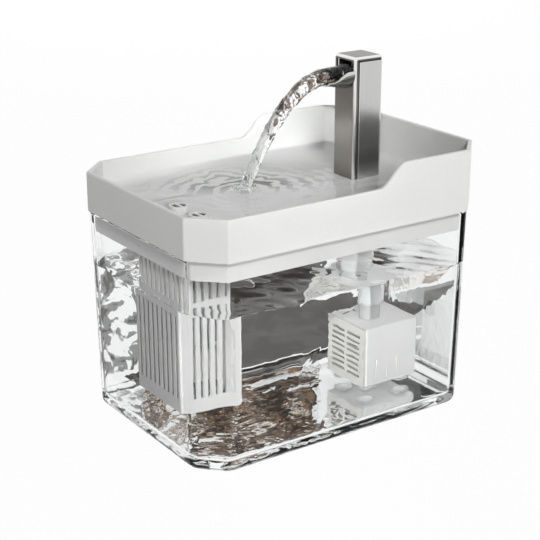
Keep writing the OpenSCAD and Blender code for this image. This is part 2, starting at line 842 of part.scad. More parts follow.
// Four cups that hold the pump to the tank's floor
module suction_cups() {
    lip_t = cup_h / 4;
    color([0.82, 0.84, 0.85])
        cup_places()
            translate([0, 0, floor_z])
                rotate_extrude()
                    polygon([
                        [0, cup_h / 2], [cup_r - cup_neck_r, 0], [cup_r, 0], [cup_r, lip_t],
                        [cup_neck_r + lip_t, cup_h], [cup_neck_r, cup_h],
                        [cup_neck_r, cup_h + pump_wall - fit_gap],
                        [0, cup_h + pump_wall - fit_gap]
                    ]);
}

// Rubber gland in the housing's rear wall
module cable_gland() {
    color([0.3, 0.3, 0.3])
        translate([pump_back, gland_y, gland_z])
            rotate([0, 90, 0])
                difference() {
                    union() {
                        translate([0, 0, -pump_wall])
                            cylinder(r = gland_neck_r, h = gland_l);
                        cylinder(r = gland_flange_r, h = pump_wall / 2);
                        cylinder(r = gland_neck_r, h = gland_l);
                    }
                    translate([0, 0, -pump_wall - cut])
                        cylinder(r = gland_bore_r, h = pump_wall + gland_l + 2 * cut);
                }
}

// Louvred cover that pulls off the pump's end
module pump_strainer() {
    plug_l = pump_w - 2 * (pump_wall + seat_gap);
    plug_h = pump_h - 2 * (pump_wall + seat_gap);
    column_w = (plug_l - 2 * louvre_bar - louvre_bar) / 2;
    rim_t = pump_wall * 2 / 3;
    color([0.9, 0.89, 0.86])
        difference() {
            union() {
                translate([pump_x, pump_y, pump_z])
                    cube([strainer_t - thin, pump_w, pump_h]);
                translate([mouth_x - strainer_t / 2, pump_side - plug_l / 2, axis_z - plug_h / 2])
                    cube([strainer_t / 2 + strainer_plug, plug_l, plug_h]);
            }
            translate([mouth_x, pump_side - plug_l / 2 + rim_t, axis_z - plug_h / 2 + rim_t])
                cube([strainer_plug + cut, plug_l - 2 * rim_t, plug_h - 2 * rim_t]);
            for (i = [0 : louvre_count - 1], side = [-1, 1])
                translate([pump_x - cut,
                    pump_side + side * (louvre_bar + column_w) / 2 - column_w / 2,
                    axis_z + (i - (louvre_count - 1) / 2) * louvre_pitch - louvre_h / 2])
                    cube([strainer_t + 2 * cut, column_w, louvre_h]);
        }
}

// Thumb tab, arm and round vane that throttles the chamber's eye
module flow_regulator() {
    lug_x = tab_x - slide_gap;
    arm_l = tab_y + tab_w;
    color([0.25, 0.25, 0.26]) {
        union() {
            // Tab in the housing's slot
            translate([tab_x, tab_y, regulator_z])
                cube([tab_l, tab_w, pump_top - regulator_z]);
            // Shoe between the rail and the housing's top
            translate([lug_x, tab_y, regulator_z])
                cube([tab_l + slide_gap, 2 * tab_w - seat_gap, regulator_h]);
            // Bar that passes under the cover's rim
            translate([vane_x, tab_y, arm_z - rail_t])
                cube([tab_x + tab_l - vane_x, tab_w, 2 * rail_t]);
            // Leg and cross arm
            translate([vane_x, tab_y, axis_z - rail_t])
                cube([vane_t, tab_w, arm_z + rail_t - axis_z]);
            translate([vane_x, 0, axis_z - rail_t])
                cube([vane_t, arm_l, 2 * rail_t]);
            along_x(vane_x, vane_t, eye_r - rail_t);
        }
    }
}

// Impeller chamber with the rotor's well behind it and the outlet on top
module volute() {
    color([0.8, 0.8, 0.79])
        difference() {
            union() {
                along_x(chamber_x, chamber_l + chamber_t, volute_r);
                along_x(chamber_back, well_end - chamber_back, well_r);
                translate([tower_x, 0, axis_z + chamber_r / 2])
                    cylinder(r = nozzle_r - thin, h = pump_top + nozzle_h - axis_z - chamber_r / 2);
                translate([tower_x, 0, collar_z])
                    cylinder(r = collar_r, h = collar_t);
            }
            // Keeps the foot of the outlet behind the cover
            translate([chamber_x - volute_r, -volute_r, axis_z - volute_r])
                cube([volute_r, 2 * volute_r, 2 * volute_r + fit_gap]);
            along_x(chamber_x - cut, chamber_l + cut, chamber_r);
            along_x(chamber_back - cut, well_back + cut - chamber_back, well_bore_r);
            translate([tower_x, 0, axis_z])
                cylinder(r = riser_bore_r, h = pump_top + nozzle_h + cut - axis_z);
        }
}

// Cover of the chamber, with a three-armed hub in its eye
module volute_cover() {
    arm_count = 3;
    color([0.7, 0.7, 0.69])
        difference() {
            union() {
                difference() {
                    along_x(cover_x, chamber_t, volute_r);
                    along_x(cover_x - cut, chamber_t + 2 * cut, eye_r);
                }
                along_x(front_bush_x, bush_l, spider_r);
                for (i = [0 : arm_count - 1])
                    translate([cover_x, 0, axis_z])
                        rotate([360 * i / arm_count, 0, 0])
                            translate([0, -blade_t / 2, 0])
                                cube([chamber_t, blade_t, eye_r + chamber_t]);
            }
            along_x(front_bush_x - cut, bush_l + 2 * cut, bush_r + run_gap);
        }
}

module impeller() {
    blade_x = chamber_x + (chamber_l - blade_w) / 2;
    color([0.85, 0.85, 0.85])
        difference() {
            union() {
                along_x(chamber_x + rotor_gap, rotor_back - chamber_x - rotor_gap, hub_r);
                for (i = [0 : blade_count - 1])
                    translate([blade_x, 0, axis_z])
                        rotate([360 * i / blade_count, 0, 0])
                            translate([0, -blade_t / 2, 0])
                                cube([blade_w, blade_t, blade_r]);
            }
            along_x(chamber_x, rotor_back + cut - chamber_x, running_r);
        }
}

module rotor_magnet() {
    color([0.2, 0.2, 0.22])
        difference() {
            along_x(rotor_x, rotor_l, rotor_r);
            along_x(rotor_x - cut, rotor_l + 2 * cut, hub_r + run_gap);
        }
}

module impeller_shaft() {
    color([0.85, 0.85, 0.83])
        along_x(front_bush_x + fit_gap, shaft_back - front_bush_x - 2 * fit_gap, shaft_r);
}

// Rubber bushes that hold the shaft's two ends
module shaft_bushes() {
    color([0.15, 0.15, 0.15])
        for (x = [front_bush_x, bush_x])
            difference() {
                along_x(x, bush_l - thin, bush_r);
                along_x(x - cut, bush_l + 2 * cut, running_r);
            }
}

// Core's outline seen along the shaft, grown by g, with the well's axis at zero
module core_outline(g = 0) {
    difference() {
        translate([core_front - g, -core_h / 2 - g])
            square([yoke_y + yoke_t - core_front + 2 * g, core_h + 2 * g]);
        circle(core_bore_r - g);
        translate([0, -core_bore_r + g])
            square([yoke_y - g, 2 * (core_bore_r - g)]);
        translate([core_front - core_arm, -core_arm / 2 + g])
            square([core_bore_r + core_arm, core_arm - 2 * g]);
    }
}

// Turns an outline drawn in Y and Z so that it runs along X from x
module run_x(x, l) {
    translate([x, 0, axis_z])
        rotate([90, 0, 90])
            linear_extrude(l)
                children();
}

module coil_block(x, l, g = 0) {
    translate([x, yoke_y - coil_t - g, axis_z - coil_h / 2 - g])
        cube([l, yoke_t + 2 * (coil_t + g), coil_h + 2 * g]);
}

module stator_core() {
    color([0.5, 0.5, 0.52])
        run_x(core_x, core_l)
            core_outline();
}

// Winding round the core's yoke
module stator_coil() {
    coil_x = core_x - coil_t;
    color([0.72, 0.42, 0.2])
        difference() {
            coil_block(coil_x, core_l + coil_t + chamber_t);
            translate([core_x - fit_gap, yoke_y - fit_gap, axis_z - core_h / 2])
                cube([core_l + 2 * fit_gap, yoke_t + 2 * fit_gap, core_h]);
        }
}

module driver_board() {
    color([0.1, 0.4, 0.2])
        translate([core_x, board_y, axis_z - board_h / 2])
            cube([core_l, board_t, board_h]);
}

// Cast block that seals the stator and its board, open towards the chamber
module motor_potting() {
    pocket_x = pot_x - cut;
    color([0.16, 0.16, 0.17])
        difference() {
            translate([pot_x, pot_y, pot_z])
                cube([pot_back - pot_x, pot_w, pot_h]);
            along_x(pocket_x, well_end + fit_gap - pocket_x, core_bore_r + fit_gap);
            run_x(pocket_x, core_x + core_l + fit_gap - pocket_x)
                core_outline(fit_gap);
            coil_block(pocket_x, core_x + core_l + chamber_t + fit_gap - pocket_x, fit_gap);
            translate([pocket_x, board_y - fit_gap, axis_z - board_h / 2 - fit_gap])
                cube([core_x + core_l + fit_gap - pocket_x, board_t + 2 * fit_gap,
                    board_h + 2 * fit_gap]);
        }
}

tank();
tank_pads();
tray();
spigot_seal();
faucet_sleeve();
faucet_front_plate();
faucet_duct();
spout();
filter_basket();
foam_pad();
resin_pouch();
carbon_pouch();
cotton_pad();
filter_lid();
hose_coupling();
pump_housing();
suction_cups();
cable_gland();
pump_strainer();
flow_regulator();
volute();
volute_cover();
impeller();
rotor_magnet();
impeller_shaft();
shaft_bushes();
stator_core();
stator_coil();
driver_board();
motor_potting();
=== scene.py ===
"""Dressed model of a pet water fountain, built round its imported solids.

Lengths are in metres in the solids' own frame: +X runs to the faucet end, -Y is the long front
and the ground is z = 0.
"""

import logging
import math
from dataclasses import dataclass, field
from enum import Enum
from typing import Callable, Sequence

import bmesh
import bpy
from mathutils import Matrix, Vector


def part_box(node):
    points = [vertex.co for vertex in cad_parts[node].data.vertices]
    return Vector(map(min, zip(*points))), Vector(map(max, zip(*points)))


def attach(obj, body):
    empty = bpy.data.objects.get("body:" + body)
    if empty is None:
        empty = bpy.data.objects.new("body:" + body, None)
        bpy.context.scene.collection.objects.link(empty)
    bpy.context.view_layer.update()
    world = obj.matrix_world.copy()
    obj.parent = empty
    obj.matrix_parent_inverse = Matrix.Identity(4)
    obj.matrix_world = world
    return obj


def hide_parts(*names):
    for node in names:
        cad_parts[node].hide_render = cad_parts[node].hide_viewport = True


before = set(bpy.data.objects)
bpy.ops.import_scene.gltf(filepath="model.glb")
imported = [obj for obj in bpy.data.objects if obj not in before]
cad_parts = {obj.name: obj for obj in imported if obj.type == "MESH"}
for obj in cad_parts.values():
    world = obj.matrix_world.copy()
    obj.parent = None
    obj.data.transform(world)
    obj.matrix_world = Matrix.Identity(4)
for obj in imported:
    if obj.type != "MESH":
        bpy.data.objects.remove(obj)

LOG = logging.getLogger("fountain")
MM = 0.001
TINY = 1e-9
# Range of values that noise mostly keeps to
NOISE = (0.3, 0.7)
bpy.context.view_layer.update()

Point = tuple[float, float, float]
PlanPoint = tuple[float, float]
Colour = tuple[float, float, float]
# Two ends of a range, and at times what the first or both of them are mapped to
Range = tuple[float, ...]
Ring = list[Point]
Piece = bpy.types.Object
Material = bpy.types.Material
Node = bpy.types.Node
Socket = bpy.types.NodeSocket


# Curves and plans


def ease(t: float) -> float:
    """Rises from 0 to 1 with level ends."""
    t = min(max(t, 0.0), 1.0)
    return t * t * (3 - 2 * t)


def mix(a: float, b: float, t: float) -> float:
    """Blends from a to b."""
    return a + (b - a) * t


def spread(start: float, end: float, count: int) -> list[float]:
    """Evenly spaced values from start to end, both included."""
    return [mix(start, end, i / (count - 1)) for i in range(count)]


def parts(count: int) -> list[float]:
    """Shares that divide a run in so many equal parts."""
    return spread(0.0, 1.0, count + 1)[1:-1]


def arc(start: float, end: float, count: int) -> list[PlanPoint]:
    """Cosine and sine at evenly spaced turns, given in degrees."""
    return [(math.cos(a), math.sin(a)) for a in map(math.radians, spread(start, end, count))]


def fillet(
    before: PlanPoint, corner: PlanPoint, after: PlanPoint, radius: float, steps: int
) -> list[PlanPoint]:
    """Rounds one corner of a plan.

    Args:
        before: The corner that comes before this one.
        corner: The corner to round.
        after: The corner that comes after it.
        radius: Radius of the rounding.
        steps: Number of chords in it.

    Returns:
        The points of the round corner, in order.
    """
    point = Vector(corner)
    back = (Vector(before) - point).normalized()
    ahead = (Vector(after) - point).normalized()
    half = back.angle(ahead) / 2
    centre = point + (back + ahead).normalized() * (radius / math.sin(half))
    start = point + back * (radius / math.tan(half)) - centre
    end = point + ahead * (radius / math.tan(half)) - centre
    turn = start.angle(end)
    points = []
    for share in spread(0.0, 1.0, steps + 1):
        way = start * math.sin((1 - share) * turn) + end * math.sin(share * turn)
        points.append(tuple(centre + way / math.sin(turn)))
    return points


def rounded_plan(
    corners: Sequence[PlanPoint],
    radius: float,
    steps: int,
    runs: Sequence[Sequence[float]] | None = None,
) -> list[PlanPoint]:
    """Rounds every corner of a plan and divides its straight runs.

    Args:
        corners: Corners of the plan, anticlockwise.
        radius: Radius of each corner.
        steps: Chords in each corner.
        runs: For the run that follows each corner, the shares of its length where it is divided.

    Returns:
        The plan's points, as many for every radius and size.
    """
    count = len(corners)
    arcs = [
        fillet(corners[i - 1], corners[i], corners[(i + 1) % count], radius, steps)
        for i in range(count)
    ]
    points: list[PlanPoint] = []
    for i, points_of_arc in enumerate(arcs):
        points.extend(points_of_arc)
        start, end = points_of_arc[-1], arcs[(i + 1) % count][0]
        shares = runs[i] if runs else ()
        points.extend((mix(start[0], end[0], s), mix(start[1], end[1], s)) for s in shares)
    return points


@dataclass(frozen=True)
class CutCornerPlan:
    """Plan of a box whose upright corners are cut off."""

    length: float
    width: float
    leg: float
    corner_steps: int = 5
    short_parts: int = 11
    cut_parts: int = 4

    def corners(self, inset: float) -> list[PlanPoint]:
        """Corners of the plan moved in by inset, with the cut faces moved in as far.

        Args:
            inset: How far the plan is moved in.

        Returns:
            The corners, anticlockwise.
        """
        x, y = self.length / 2 - inset, self.width / 2 - inset
        leg = self.leg - inset * (2 - math.sqrt(2))
        near = [(-x + leg, -y), (x - leg, -y), (x, -y + leg), (x, y - leg)]
        return near + [(-a, -b) for a, b in near]

    def ring(
        self,
        inset: float,
        radius: float,
        height: float | Callable[[float], float],
        long_run: Sequence[float],
    ) -> Ring:
        """One ring of the plan.

        Args:
            inset: How far the ring lies inside the plan.
            radius: Rounding of its corners.
            height: Height of the ring, or what gives it at a place along X.
            long_run: Shares where the two long runs are divided, from the low X end.

        Returns:
            The ring's points.
        """
        cut, short = parts(self.cut_parts), parts(self.short_parts)
        runs = [long_run, cut, short, cut, [1 - s for s in reversed(long_run)], cut, short, cut]
        plan = rounded_plan(self.corners(inset), radius, self.corner_steps, runs)
        return [(x, y, height(x) if callable(height) else height) for x, y in plan]


def rectangle(x: PlanPoint, y: PlanPoint) -> list[PlanPoint]:
    """Corners of a rectangle between the two values of x and the two of y."""
    return [(x[0], y[0]), (x[1], y[0]), (x[1], y[1]), (x[0], y[1])]


def circle(radius: float, count: int, centre: PlanPoint) -> list[PlanPoint]:
    """Points of a circle."""
    turns = [2 * math.pi * i / count for i in range(count)]
    return [(centre[0] + radius * math.cos(t), centre[1] + radius * math.sin(t)) for t in turns]


def corner_of(node: str, which: int) -> Vector:
    """Size field that holds the lower (0) or upper (1) corner of a solid's box."""
    return field(default_factory=lambda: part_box(node)[which])


# Meshes


class Combine(Enum):
    """How a tool solid changes a base solid."""

    JOIN = "UNION"
    CUT = "DIFFERENCE"
    KEEP_COMMON = "INTERSECT"


def link(name: str, data: bpy.types.ID) -> Piece:
    """Makes an object of the data and puts it in the scene.

    Args:
        name: Name of the object.
        data: What it shows.

    Returns:
        The object.
    """
    piece = bpy.data.objects.new(name, data)
    bpy.context.scene.collection.objects.link(piece)
    return piece


def built(name: str, build: bmesh.types.BMesh) -> Piece:
    """Makes an object of a mesh under construction, which is used up.

    Args:
        name: Name of the object.
        build: The mesh.

    Returns:
        The object.
    """
    mesh = bpy.data.meshes.new(name)
    build.to_mesh(mesh)
    build.free()
    return link(name, mesh)


def new_piece(name: str, points: Sequence[Point], faces: Sequence[Sequence[int]]) -> Piece:
    """Makes a mesh object.

    Args:
        name: Name of the piece.
        points: Its points.
        faces: Its faces, as indices of the points.

    Returns:
        The object, linked to the scene.
    """
    mesh = bpy.data.meshes.new(name)
    mesh.from_pydata(points, [], faces)
    mesh.validate()
    build = bmesh.new()
    build.from_mesh(mesh)
    bmesh.ops.recalc_face_normals(build, faces=build.faces)
    build.to_mesh(mesh)
    build.free()
    return link(name, mesh)


def loft(name: str, rings: Sequence[Ring], closed: bool = False) -> Piece:
    """Skins a solid through rings that have as many points each.

    Args:
        name: Name of the piece.
        rings: The rings in order.
        closed: Whether the last ring meets the first. Otherwise both ends are capped.

    Returns:
        The solid.
    """
    count, total = len(rings[0]), len(rings)
    faces: list[list[int]] = []
    for i in range(total if closed else total - 1):
        low, high = i * count, ((i + 1) % total) * count
        for j in range(count):
            k = (j + 1) % count
            faces.append([low + j, low + k, high + k, high + j])
    if not closed:
        faces.append(list(range(count)))
        faces.append(list(range((total - 1) * count, total * count)))
    return new_piece(name, [p for ring in rings for p in ring], faces)


def prism(name: str, plan: Sequence[PlanPoint], low: float, high: float) -> Piece:
    """An upright solid of one plan."""
    return loft(name, [[(x, y, z) for x, y in plan] for z in (low, high)])


def turned(
    name: str, profile: Sequence[tuple[float, float]], axis: PlanPoint, sides: int = 72
) -> Piece:
    """An upright turned solid, whose profile gives the radius and height of each ring."""
    return loft(name, [[(x, y, z) for x, y in circle(r, sides, axis)] for r, z in profile])


def keep_result(piece: Piece) -> None:
    """Puts the shape that the piece's modifiers give into its mesh and takes them off.

    Args:
        piece: The piece.
    """
    graph = bpy.context.evaluated_depsgraph_get()
    graph.update()
    mesh = bpy.data.meshes.new_from_object(piece.evaluated_get(graph))
    piece.modifiers.clear()
    piece.data = mesh
    mesh.name = piece.name


def combine(base: Piece, tool: Piece, way: Combine) -> None:
    """Changes a solid with another one, which is used up.

    Args:
        base: The solid that is changed.
        tool: The solid that changes it.
        way: How it does.
    """
    change = base.modifiers.new("change", "BOOLEAN")
    change.operation = way.value
    change.object = tool
    change.solver = "MANIFOLD"
    keep_result(base)
    bpy.data.objects.remove(tool)


def smooth(piece: Piece, crease: float) -> None:
    """Shades a piece smooth between creases, with its large faces flat.

    Args:
        piece: The piece.
        crease: Turn in degrees from which an edge stays sharp.
    """
    piece.data.shade_smooth()
    piece.data.set_sharp_from_angle(angle=math.radians(crease))
    piece.modifiers.new("even shading", "WEIGHTED_NORMAL").keep_sharp = True
    keep_result(piece)


def place(
    piece: Piece, body: str, material: Material, replaces: Sequence[str] = ()
) -> Piece:
    """Dresses a piece and fixes it to a body.

    Args:
        piece: The piece.
        body: The body it rides on.
        material: Its finish.
        replaces: The solids it stands for.

    Returns:
        The piece.
    """
    piece.data.materials.clear()
    piece.data.materials.append(material)
    if replaces:
        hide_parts(*replaces)
    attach(piece, body)
    LOG.info("%s: %d faces on %s", piece.name, len(piece.data.polygons), body)
    return piece


# Node tools


class Tree:
    """Short calls to build a node tree."""

    def __init__(self, tree: bpy.types.NodeTree) -> None:
        """Empties the tree and keeps it."""
        self.tree = tree
        tree.nodes.clear()

    def feed(self, node: Node, name: str | int, value: object) -> None:
        """Sets or links one input of a node.

        Args:
            node: The node.
            name: Name or number of the input.
            value: The value to set, or the socket to link.
        """
        socket = node.inputs[name]
        if isinstance(value, Socket):
            self.tree.links.new(value, socket)
        elif socket.type == "RGBA":
            socket.default_value = (*value, 1.0)
        else:
            socket.default_value = value

    def feed_all(self, node: Node, *values: object, **inputs: object) -> Node:
        """Sets or links several inputs of a node.

        Args:
            node: The node.
            values: Values or sockets for its first inputs.
            inputs: Values or sockets for its other inputs by name, with _ for a space.

        Returns:
            The node.
        """
        for i, value in enumerate(values):
            self.feed(node, i, value)
        for name, value in inputs.items():
            self.feed(node, name.replace("_", " "), value)
        return node

    def add(self, kind: str, *values: object, **inputs: object) -> Node:
        """Adds a node, whose type is given without its leading word."""
        return self.feed_all(self.tree.nodes.new("ShaderNode" + kind), *values, **inputs)

    def group(self, effect: bpy.types.NodeTree, **inputs: object) -> bpy.types.NodeOutputs:
        """Places a shared effect with its own values and gives its outputs.

        Args:
            effect: The shared effect.
            inputs: Its own values by name, with _ for a space.

        Returns:
            The outputs by name.
        """
        node = self.add("Group")
        node.node_tree = effect
        return self.feed_all(node, **inputs).outputs

    def where(self) -> Socket:
        """Place on the piece, in metres."""
        return self.add("TexCoord").outputs["Object"]

    def along(self, axis: str) -> Socket:
        """Place on the piece along one axis."""
        return self.add("SeparateXYZ", self.where()).outputs[axis]

    def noise(self, at: Socket, scale: object, **look: object) -> Socket:
        """Adds noise of that scale and gives its value."""
        return self.add("TexNoise", Vector=at, Scale=scale, **look).outputs[0]

    def math(self, operation: str, *values: object) -> Socket:
        """Adds a sum of one, two or three values and gives its result.

        Args:
            operation: What is done.
            values: Numbers or sockets.

        Returns:
            The result.
        """
        node = self.add("Math")
        node.operation = operation
        return self.feed_all(node, *values).outputs[0]

    def vector(self, operation: str, *values: object) -> Socket:
        """Adds a sum of vectors and gives its result, a number for a length or a dot product.

        Args:
            operation: What is done.
            values: Vectors or sockets.

        Returns:
            The result.
        """
        node = self.add("VectorMath")
        node.operation = operation
        number = operation in ("LENGTH", "DOT_PRODUCT")
        return self.feed_all(node, *values).outputs["Value" if number else "Vector"]

    def blend(self, share: object, first: object, second: object) -> Socket:
        """Blends two colours and gives the result.

        Args:
            share: Share of the second colour.
            first: The first colour.
            second: The second colour.

        Returns:
            The blended colour.
        """
        node = self.add("Mix")
        node.data_type = "RGBA"
        for number, value in ((0, share), (6, first), (7, second)):
            self.feed(node, number, value)
        return node.outputs[2]

    def either(self, share: Socket, first: Socket, second: Socket) -> Socket:
        """Blends two shaders by the share of the second and gives the result."""
        return self.add("MixShader", share, first, second).outputs[0]

    def ramp(self, value: object, tones: Sequence[tuple[float, float]]) -> Socket:
        """Maps a value from 0..1 to a grey tone.

        Args:
            value: The value.
            tones: The places on the way from 0 to 1 and the tone at each.

        Returns:
            The tone.
        """
        node = self.add("ValToRGB", value)
        node.color_ramp.interpolation = "B_SPLINE" if len(tones) > 3 else "LINEAR"
        stops = node.color_ramp.elements
        while len(stops) < len(tones):
            stops.new(0.5)
        for stop, (at, tone) in zip(stops, tones):
            stop.position, stop.color = at, (tone, tone, tone, 1.0)
        return node.outputs[0]

    def span(
        self, value: Socket, low: object, high: object, start: float = 0.0, end: float = 1.0
    ) -> Socket:
        """Maps a value from low..high to start..end and holds it there."""
        inputs = {"From Min": low, "From Max": high, "To Min": start, "To Max": end}
        return self.add("MapRange", Value=value, **inputs).outputs[0]


def new_material(name: str) -> tuple[Material, Tree]:
    """Makes a material with an empty node tree.

    Args:
        name: Name of the material.

    Returns:
        The material and its tree.
    """
    material = bpy.data.materials.new(name)
    material.use_nodes = True
    return material, Tree(material.node_tree)


def toned(colour: Colour, share: float) -> Colour:
    """A darker or lighter tone of a colour."""
    return tuple(c * share for c in colour)


class Effects:
    """Node groups that the finishes share, each built once."""

    worn_patches_per_metre: float = 90.0
    worn_patch_range: Range = (0.35, 0.65, 0.45)
    hand_marks_per_metre: float = 34.0
    tufts_per_fibre: float = 0.45

    def __init__(self) -> None:
        """Builds the groups."""
        self.moulding = self._group(
            self._moulding, {"Grain per metre": 2600.0, "Flow per metre": 22.0}, "Grain", "Flow"
        )
        self.edge_wear = self._group(self._edge_wear, {"From": 0.52, "To": 0.6}, "Mask")
        self.brushing = self._group(
            self._brushing, {"Streaks per metre": 900.0, "Stretch": 0.02}, "Streak", "Cloud"
        )
        self.polish = self._group(self._polish, {"From": 0.012, "To": 0.1}, "Mask")
        self.fibre = self._group(self._fibre, {"Fibres per metre": 1500.0}, "Fibre", "Tuft")
        self.swirl = self._group(self._swirl, {"Swirls per metre": 30.0, "Twist": 0.8}, "Height")

    @staticmethod
    def _group(
        recipe: Callable[..., list[Socket]], inputs: dict[str, float], *outputs: str
    ) -> bpy.types.NodeTree:
        """Builds one group, named after its recipe.

        Args:
            recipe: Makes the nodes from the tree and the group's inputs.
            inputs: The group's inputs with their defaults.
            outputs: Names of its outputs.

        Returns:
            The group.
        """
        group = bpy.data.node_groups.new(recipe.__name__.strip("_"), "ShaderNodeTree")
        kind = {"socket_type": "NodeSocketFloat"}
        for title, value in inputs.items():
            group.interface.new_socket(title, in_out="INPUT", **kind).default_value = value
        for title in outputs:
            group.interface.new_socket(title, in_out="OUTPUT", **kind)
        tree = Tree(group)
        given = group.nodes.new("NodeGroupInput").outputs
        results = recipe(tree, *[given[title] for title in inputs])
        tree.feed_all(group.nodes.new("NodeGroupOutput"), *results)
        return group

    def _moulding(self, tree: Tree, grain: Socket, flow: Socket) -> list[Socket]:
        """Fine grain and slow flow marks of moulded plastic.

        Args:
            tree: The group's tree.
            grain: Grain per metre.
            flow: Flow marks per metre.

        Returns:
            The grain and the flow marks.
        """
        where = tree.where()
        return [
            tree.noise(where, grain, Detail=2.0, Roughness=0.5),
            tree.noise(where, flow, Detail=3.0, Roughness=0.55, Distortion=0.6),
        ]

    def _edge_wear(self, tree: Tree, low: Socket, high: Socket) -> list[Socket]:
        """Mask of the worn or polished outer edges, in patches.

        Args:
            tree: The group's tree.
            low: Sharpness from which an edge wears.
            high: Sharpness at which it is worn in full.

        Returns:
            The mask.
        """
        sharp = tree.add("NewGeometry").outputs["Pointiness"]
        patch = tree.noise(tree.where(), self.worn_patches_per_metre, Detail=4.0)
        patch = tree.span(patch, *self.worn_patch_range)
        return [tree.math("MULTIPLY", tree.span(sharp, low, high), patch)]

    def _brushing(self, tree: Tree, streaks: Socket, stretch: Socket) -> list[Socket]:
        """Upright brushed streaks of sheet metal, and its handling marks.

        Args:
            tree: The group's tree.
            streaks: Streaks per metre.
            stretch: Share of that number up the piece.

        Returns:
            The streaks and the marks.
        """
        where = tree.where()
        shape = tree.add("CombineXYZ", 1.0, 1.0, stretch).outputs[0]
        long_way = tree.vector("MULTIPLY", where, shape)
        return [
            tree.noise(long_way, streaks, Detail=4.0, Roughness=0.6),
            tree.noise(where, self.hand_marks_per_metre, Detail=3.0),
        ]

    def _polish(self, tree: Tree, low: Socket, high: Socket) -> list[Socket]:
        """Mask of the bends of folded sheet, where a painted highlight goes.

        Args:
            tree: The group's tree.
            low: Bend from which the painted highlight starts.
            high: Bend at which the painted highlight is full.

        Returns:
            The mask.
        """
        turn = tree.add("SeparateXYZ", tree.add("NewGeometry").outputs["Normal"]).outputs
        sizes = [tree.math("ABSOLUTE", turn[axis]) for axis in ("X", "Y", "Z")]
        flat = tree.math("MAXIMUM", tree.math("MAXIMUM", sizes[0], sizes[1]), sizes[2])
        return [tree.span(tree.math("SUBTRACT", 1.0, flat), low, high)]

    def _fibre(self, tree: Tree, fibres: Socket) -> list[Socket]:
        """Matted fibres of fleece, felt or open foam, and the tufts that they lie in.

        Args:
            tree: The group's tree.
            fibres: Fibres per metre.

        Returns:
            The fibres and the tufts.
        """
        where = tree.where()
        cell = tree.add("TexVoronoi")
        cell.feature = "DISTANCE_TO_EDGE"
        tufts = tree.math("MULTIPLY", fibres, self.tufts_per_fibre)
        tree.feed_all(cell, Vector=where, Scale=tufts)
        return [
            tree.noise(where, fibres, Detail=6.0, Roughness=0.7, Distortion=2.2),
            cell.outputs[0],
        ]

    def _swirl(self, tree: Tree, swirls: Socket, twist: Socket) -> list[Socket]:
        """Slow unevenness of clear mouldings and of moving water."""
        return [tree.noise(tree.where(), swirls, Detail=2.0, Distortion=twist)]


# Finishes


@dataclass(frozen=True)
class Finish:
    """What every finish has: a name, a colour and a shader that the kind of finish dresses."""

    name: str
    colour: Colour

    def dress(self, tree: Tree, effects: Effects) -> dict[str, object]:
        """Makes the nodes of this finish and gives the shader's inputs by name."""
        raise NotImplementedError

    def surface(self, tree: Tree, shaded: Socket) -> Socket:
        """What the output shows."""
        return shaded

    def build(self, effects: Effects) -> Material:
        """Builds the material.

        Args:
            effects: The shared effects.

        Returns:
            The material.
        """
        material, tree = new_material(self.name)
        shader = tree.add("BsdfPrincipled", **self.dress(tree, effects))
        tree.add("OutputMaterial", Surface=self.surface(tree, shader.outputs[0]))
        return material

    @staticmethod
    def relief(tree: Tree, height: Socket, strength: float, depth: float) -> Socket:
        """A normal with a bump of that height."""
        bump = tree.add("Bump", Strength=strength, Distance=depth, Height=height)
        return bump.outputs[0]


@dataclass(frozen=True)
class MouldedPlastic(Finish):
    """Moulded plastic or rubber."""

    roughness: float = 0.3
    rough_range: Range = (0.9, 1.12)
    coat: float = 0.0
    coat_roughness: float = 0.12
    shade: float = 0.05
    flow: Range = (0.35, 0.65)
    depth: float = 0.04 * MM
    bump: float = 0.5
    worn_share: float = 1.05
    worn_lift: float = 0.005
    grain: float = 2600.0

    def dress(self, tree: Tree, effects: Effects) -> dict[str, object]:
        """Makes the flow marks, the worn edges and the grain.

        Args:
            tree: The material's tree.
            effects: The shared effects.

        Returns:
            The shader's inputs by name.
        """
        marks = tree.group(effects.moulding, Grain_per_metre=self.grain)
        worn = tree.group(effects.edge_wear)["Mask"]
        light = tuple(min(1.0, c * self.worn_share + self.worn_lift) for c in self.colour)
        flow = tree.span(marks["Flow"], *self.flow)
        body = tree.blend(flow, toned(self.colour, 1 - self.shade), self.colour)
        ends = [self.roughness * share for share in self.rough_range]
        return {
            "Base Color": tree.blend(worn, body, light),
            "Roughness": tree.span(marks["Grain"], *NOISE, *ends),
            "Coat Weight": self.coat,
            "Coat Roughness": self.coat_roughness,
            "Normal": self.relief(tree, marks["Grain"], self.bump, self.depth),
        }


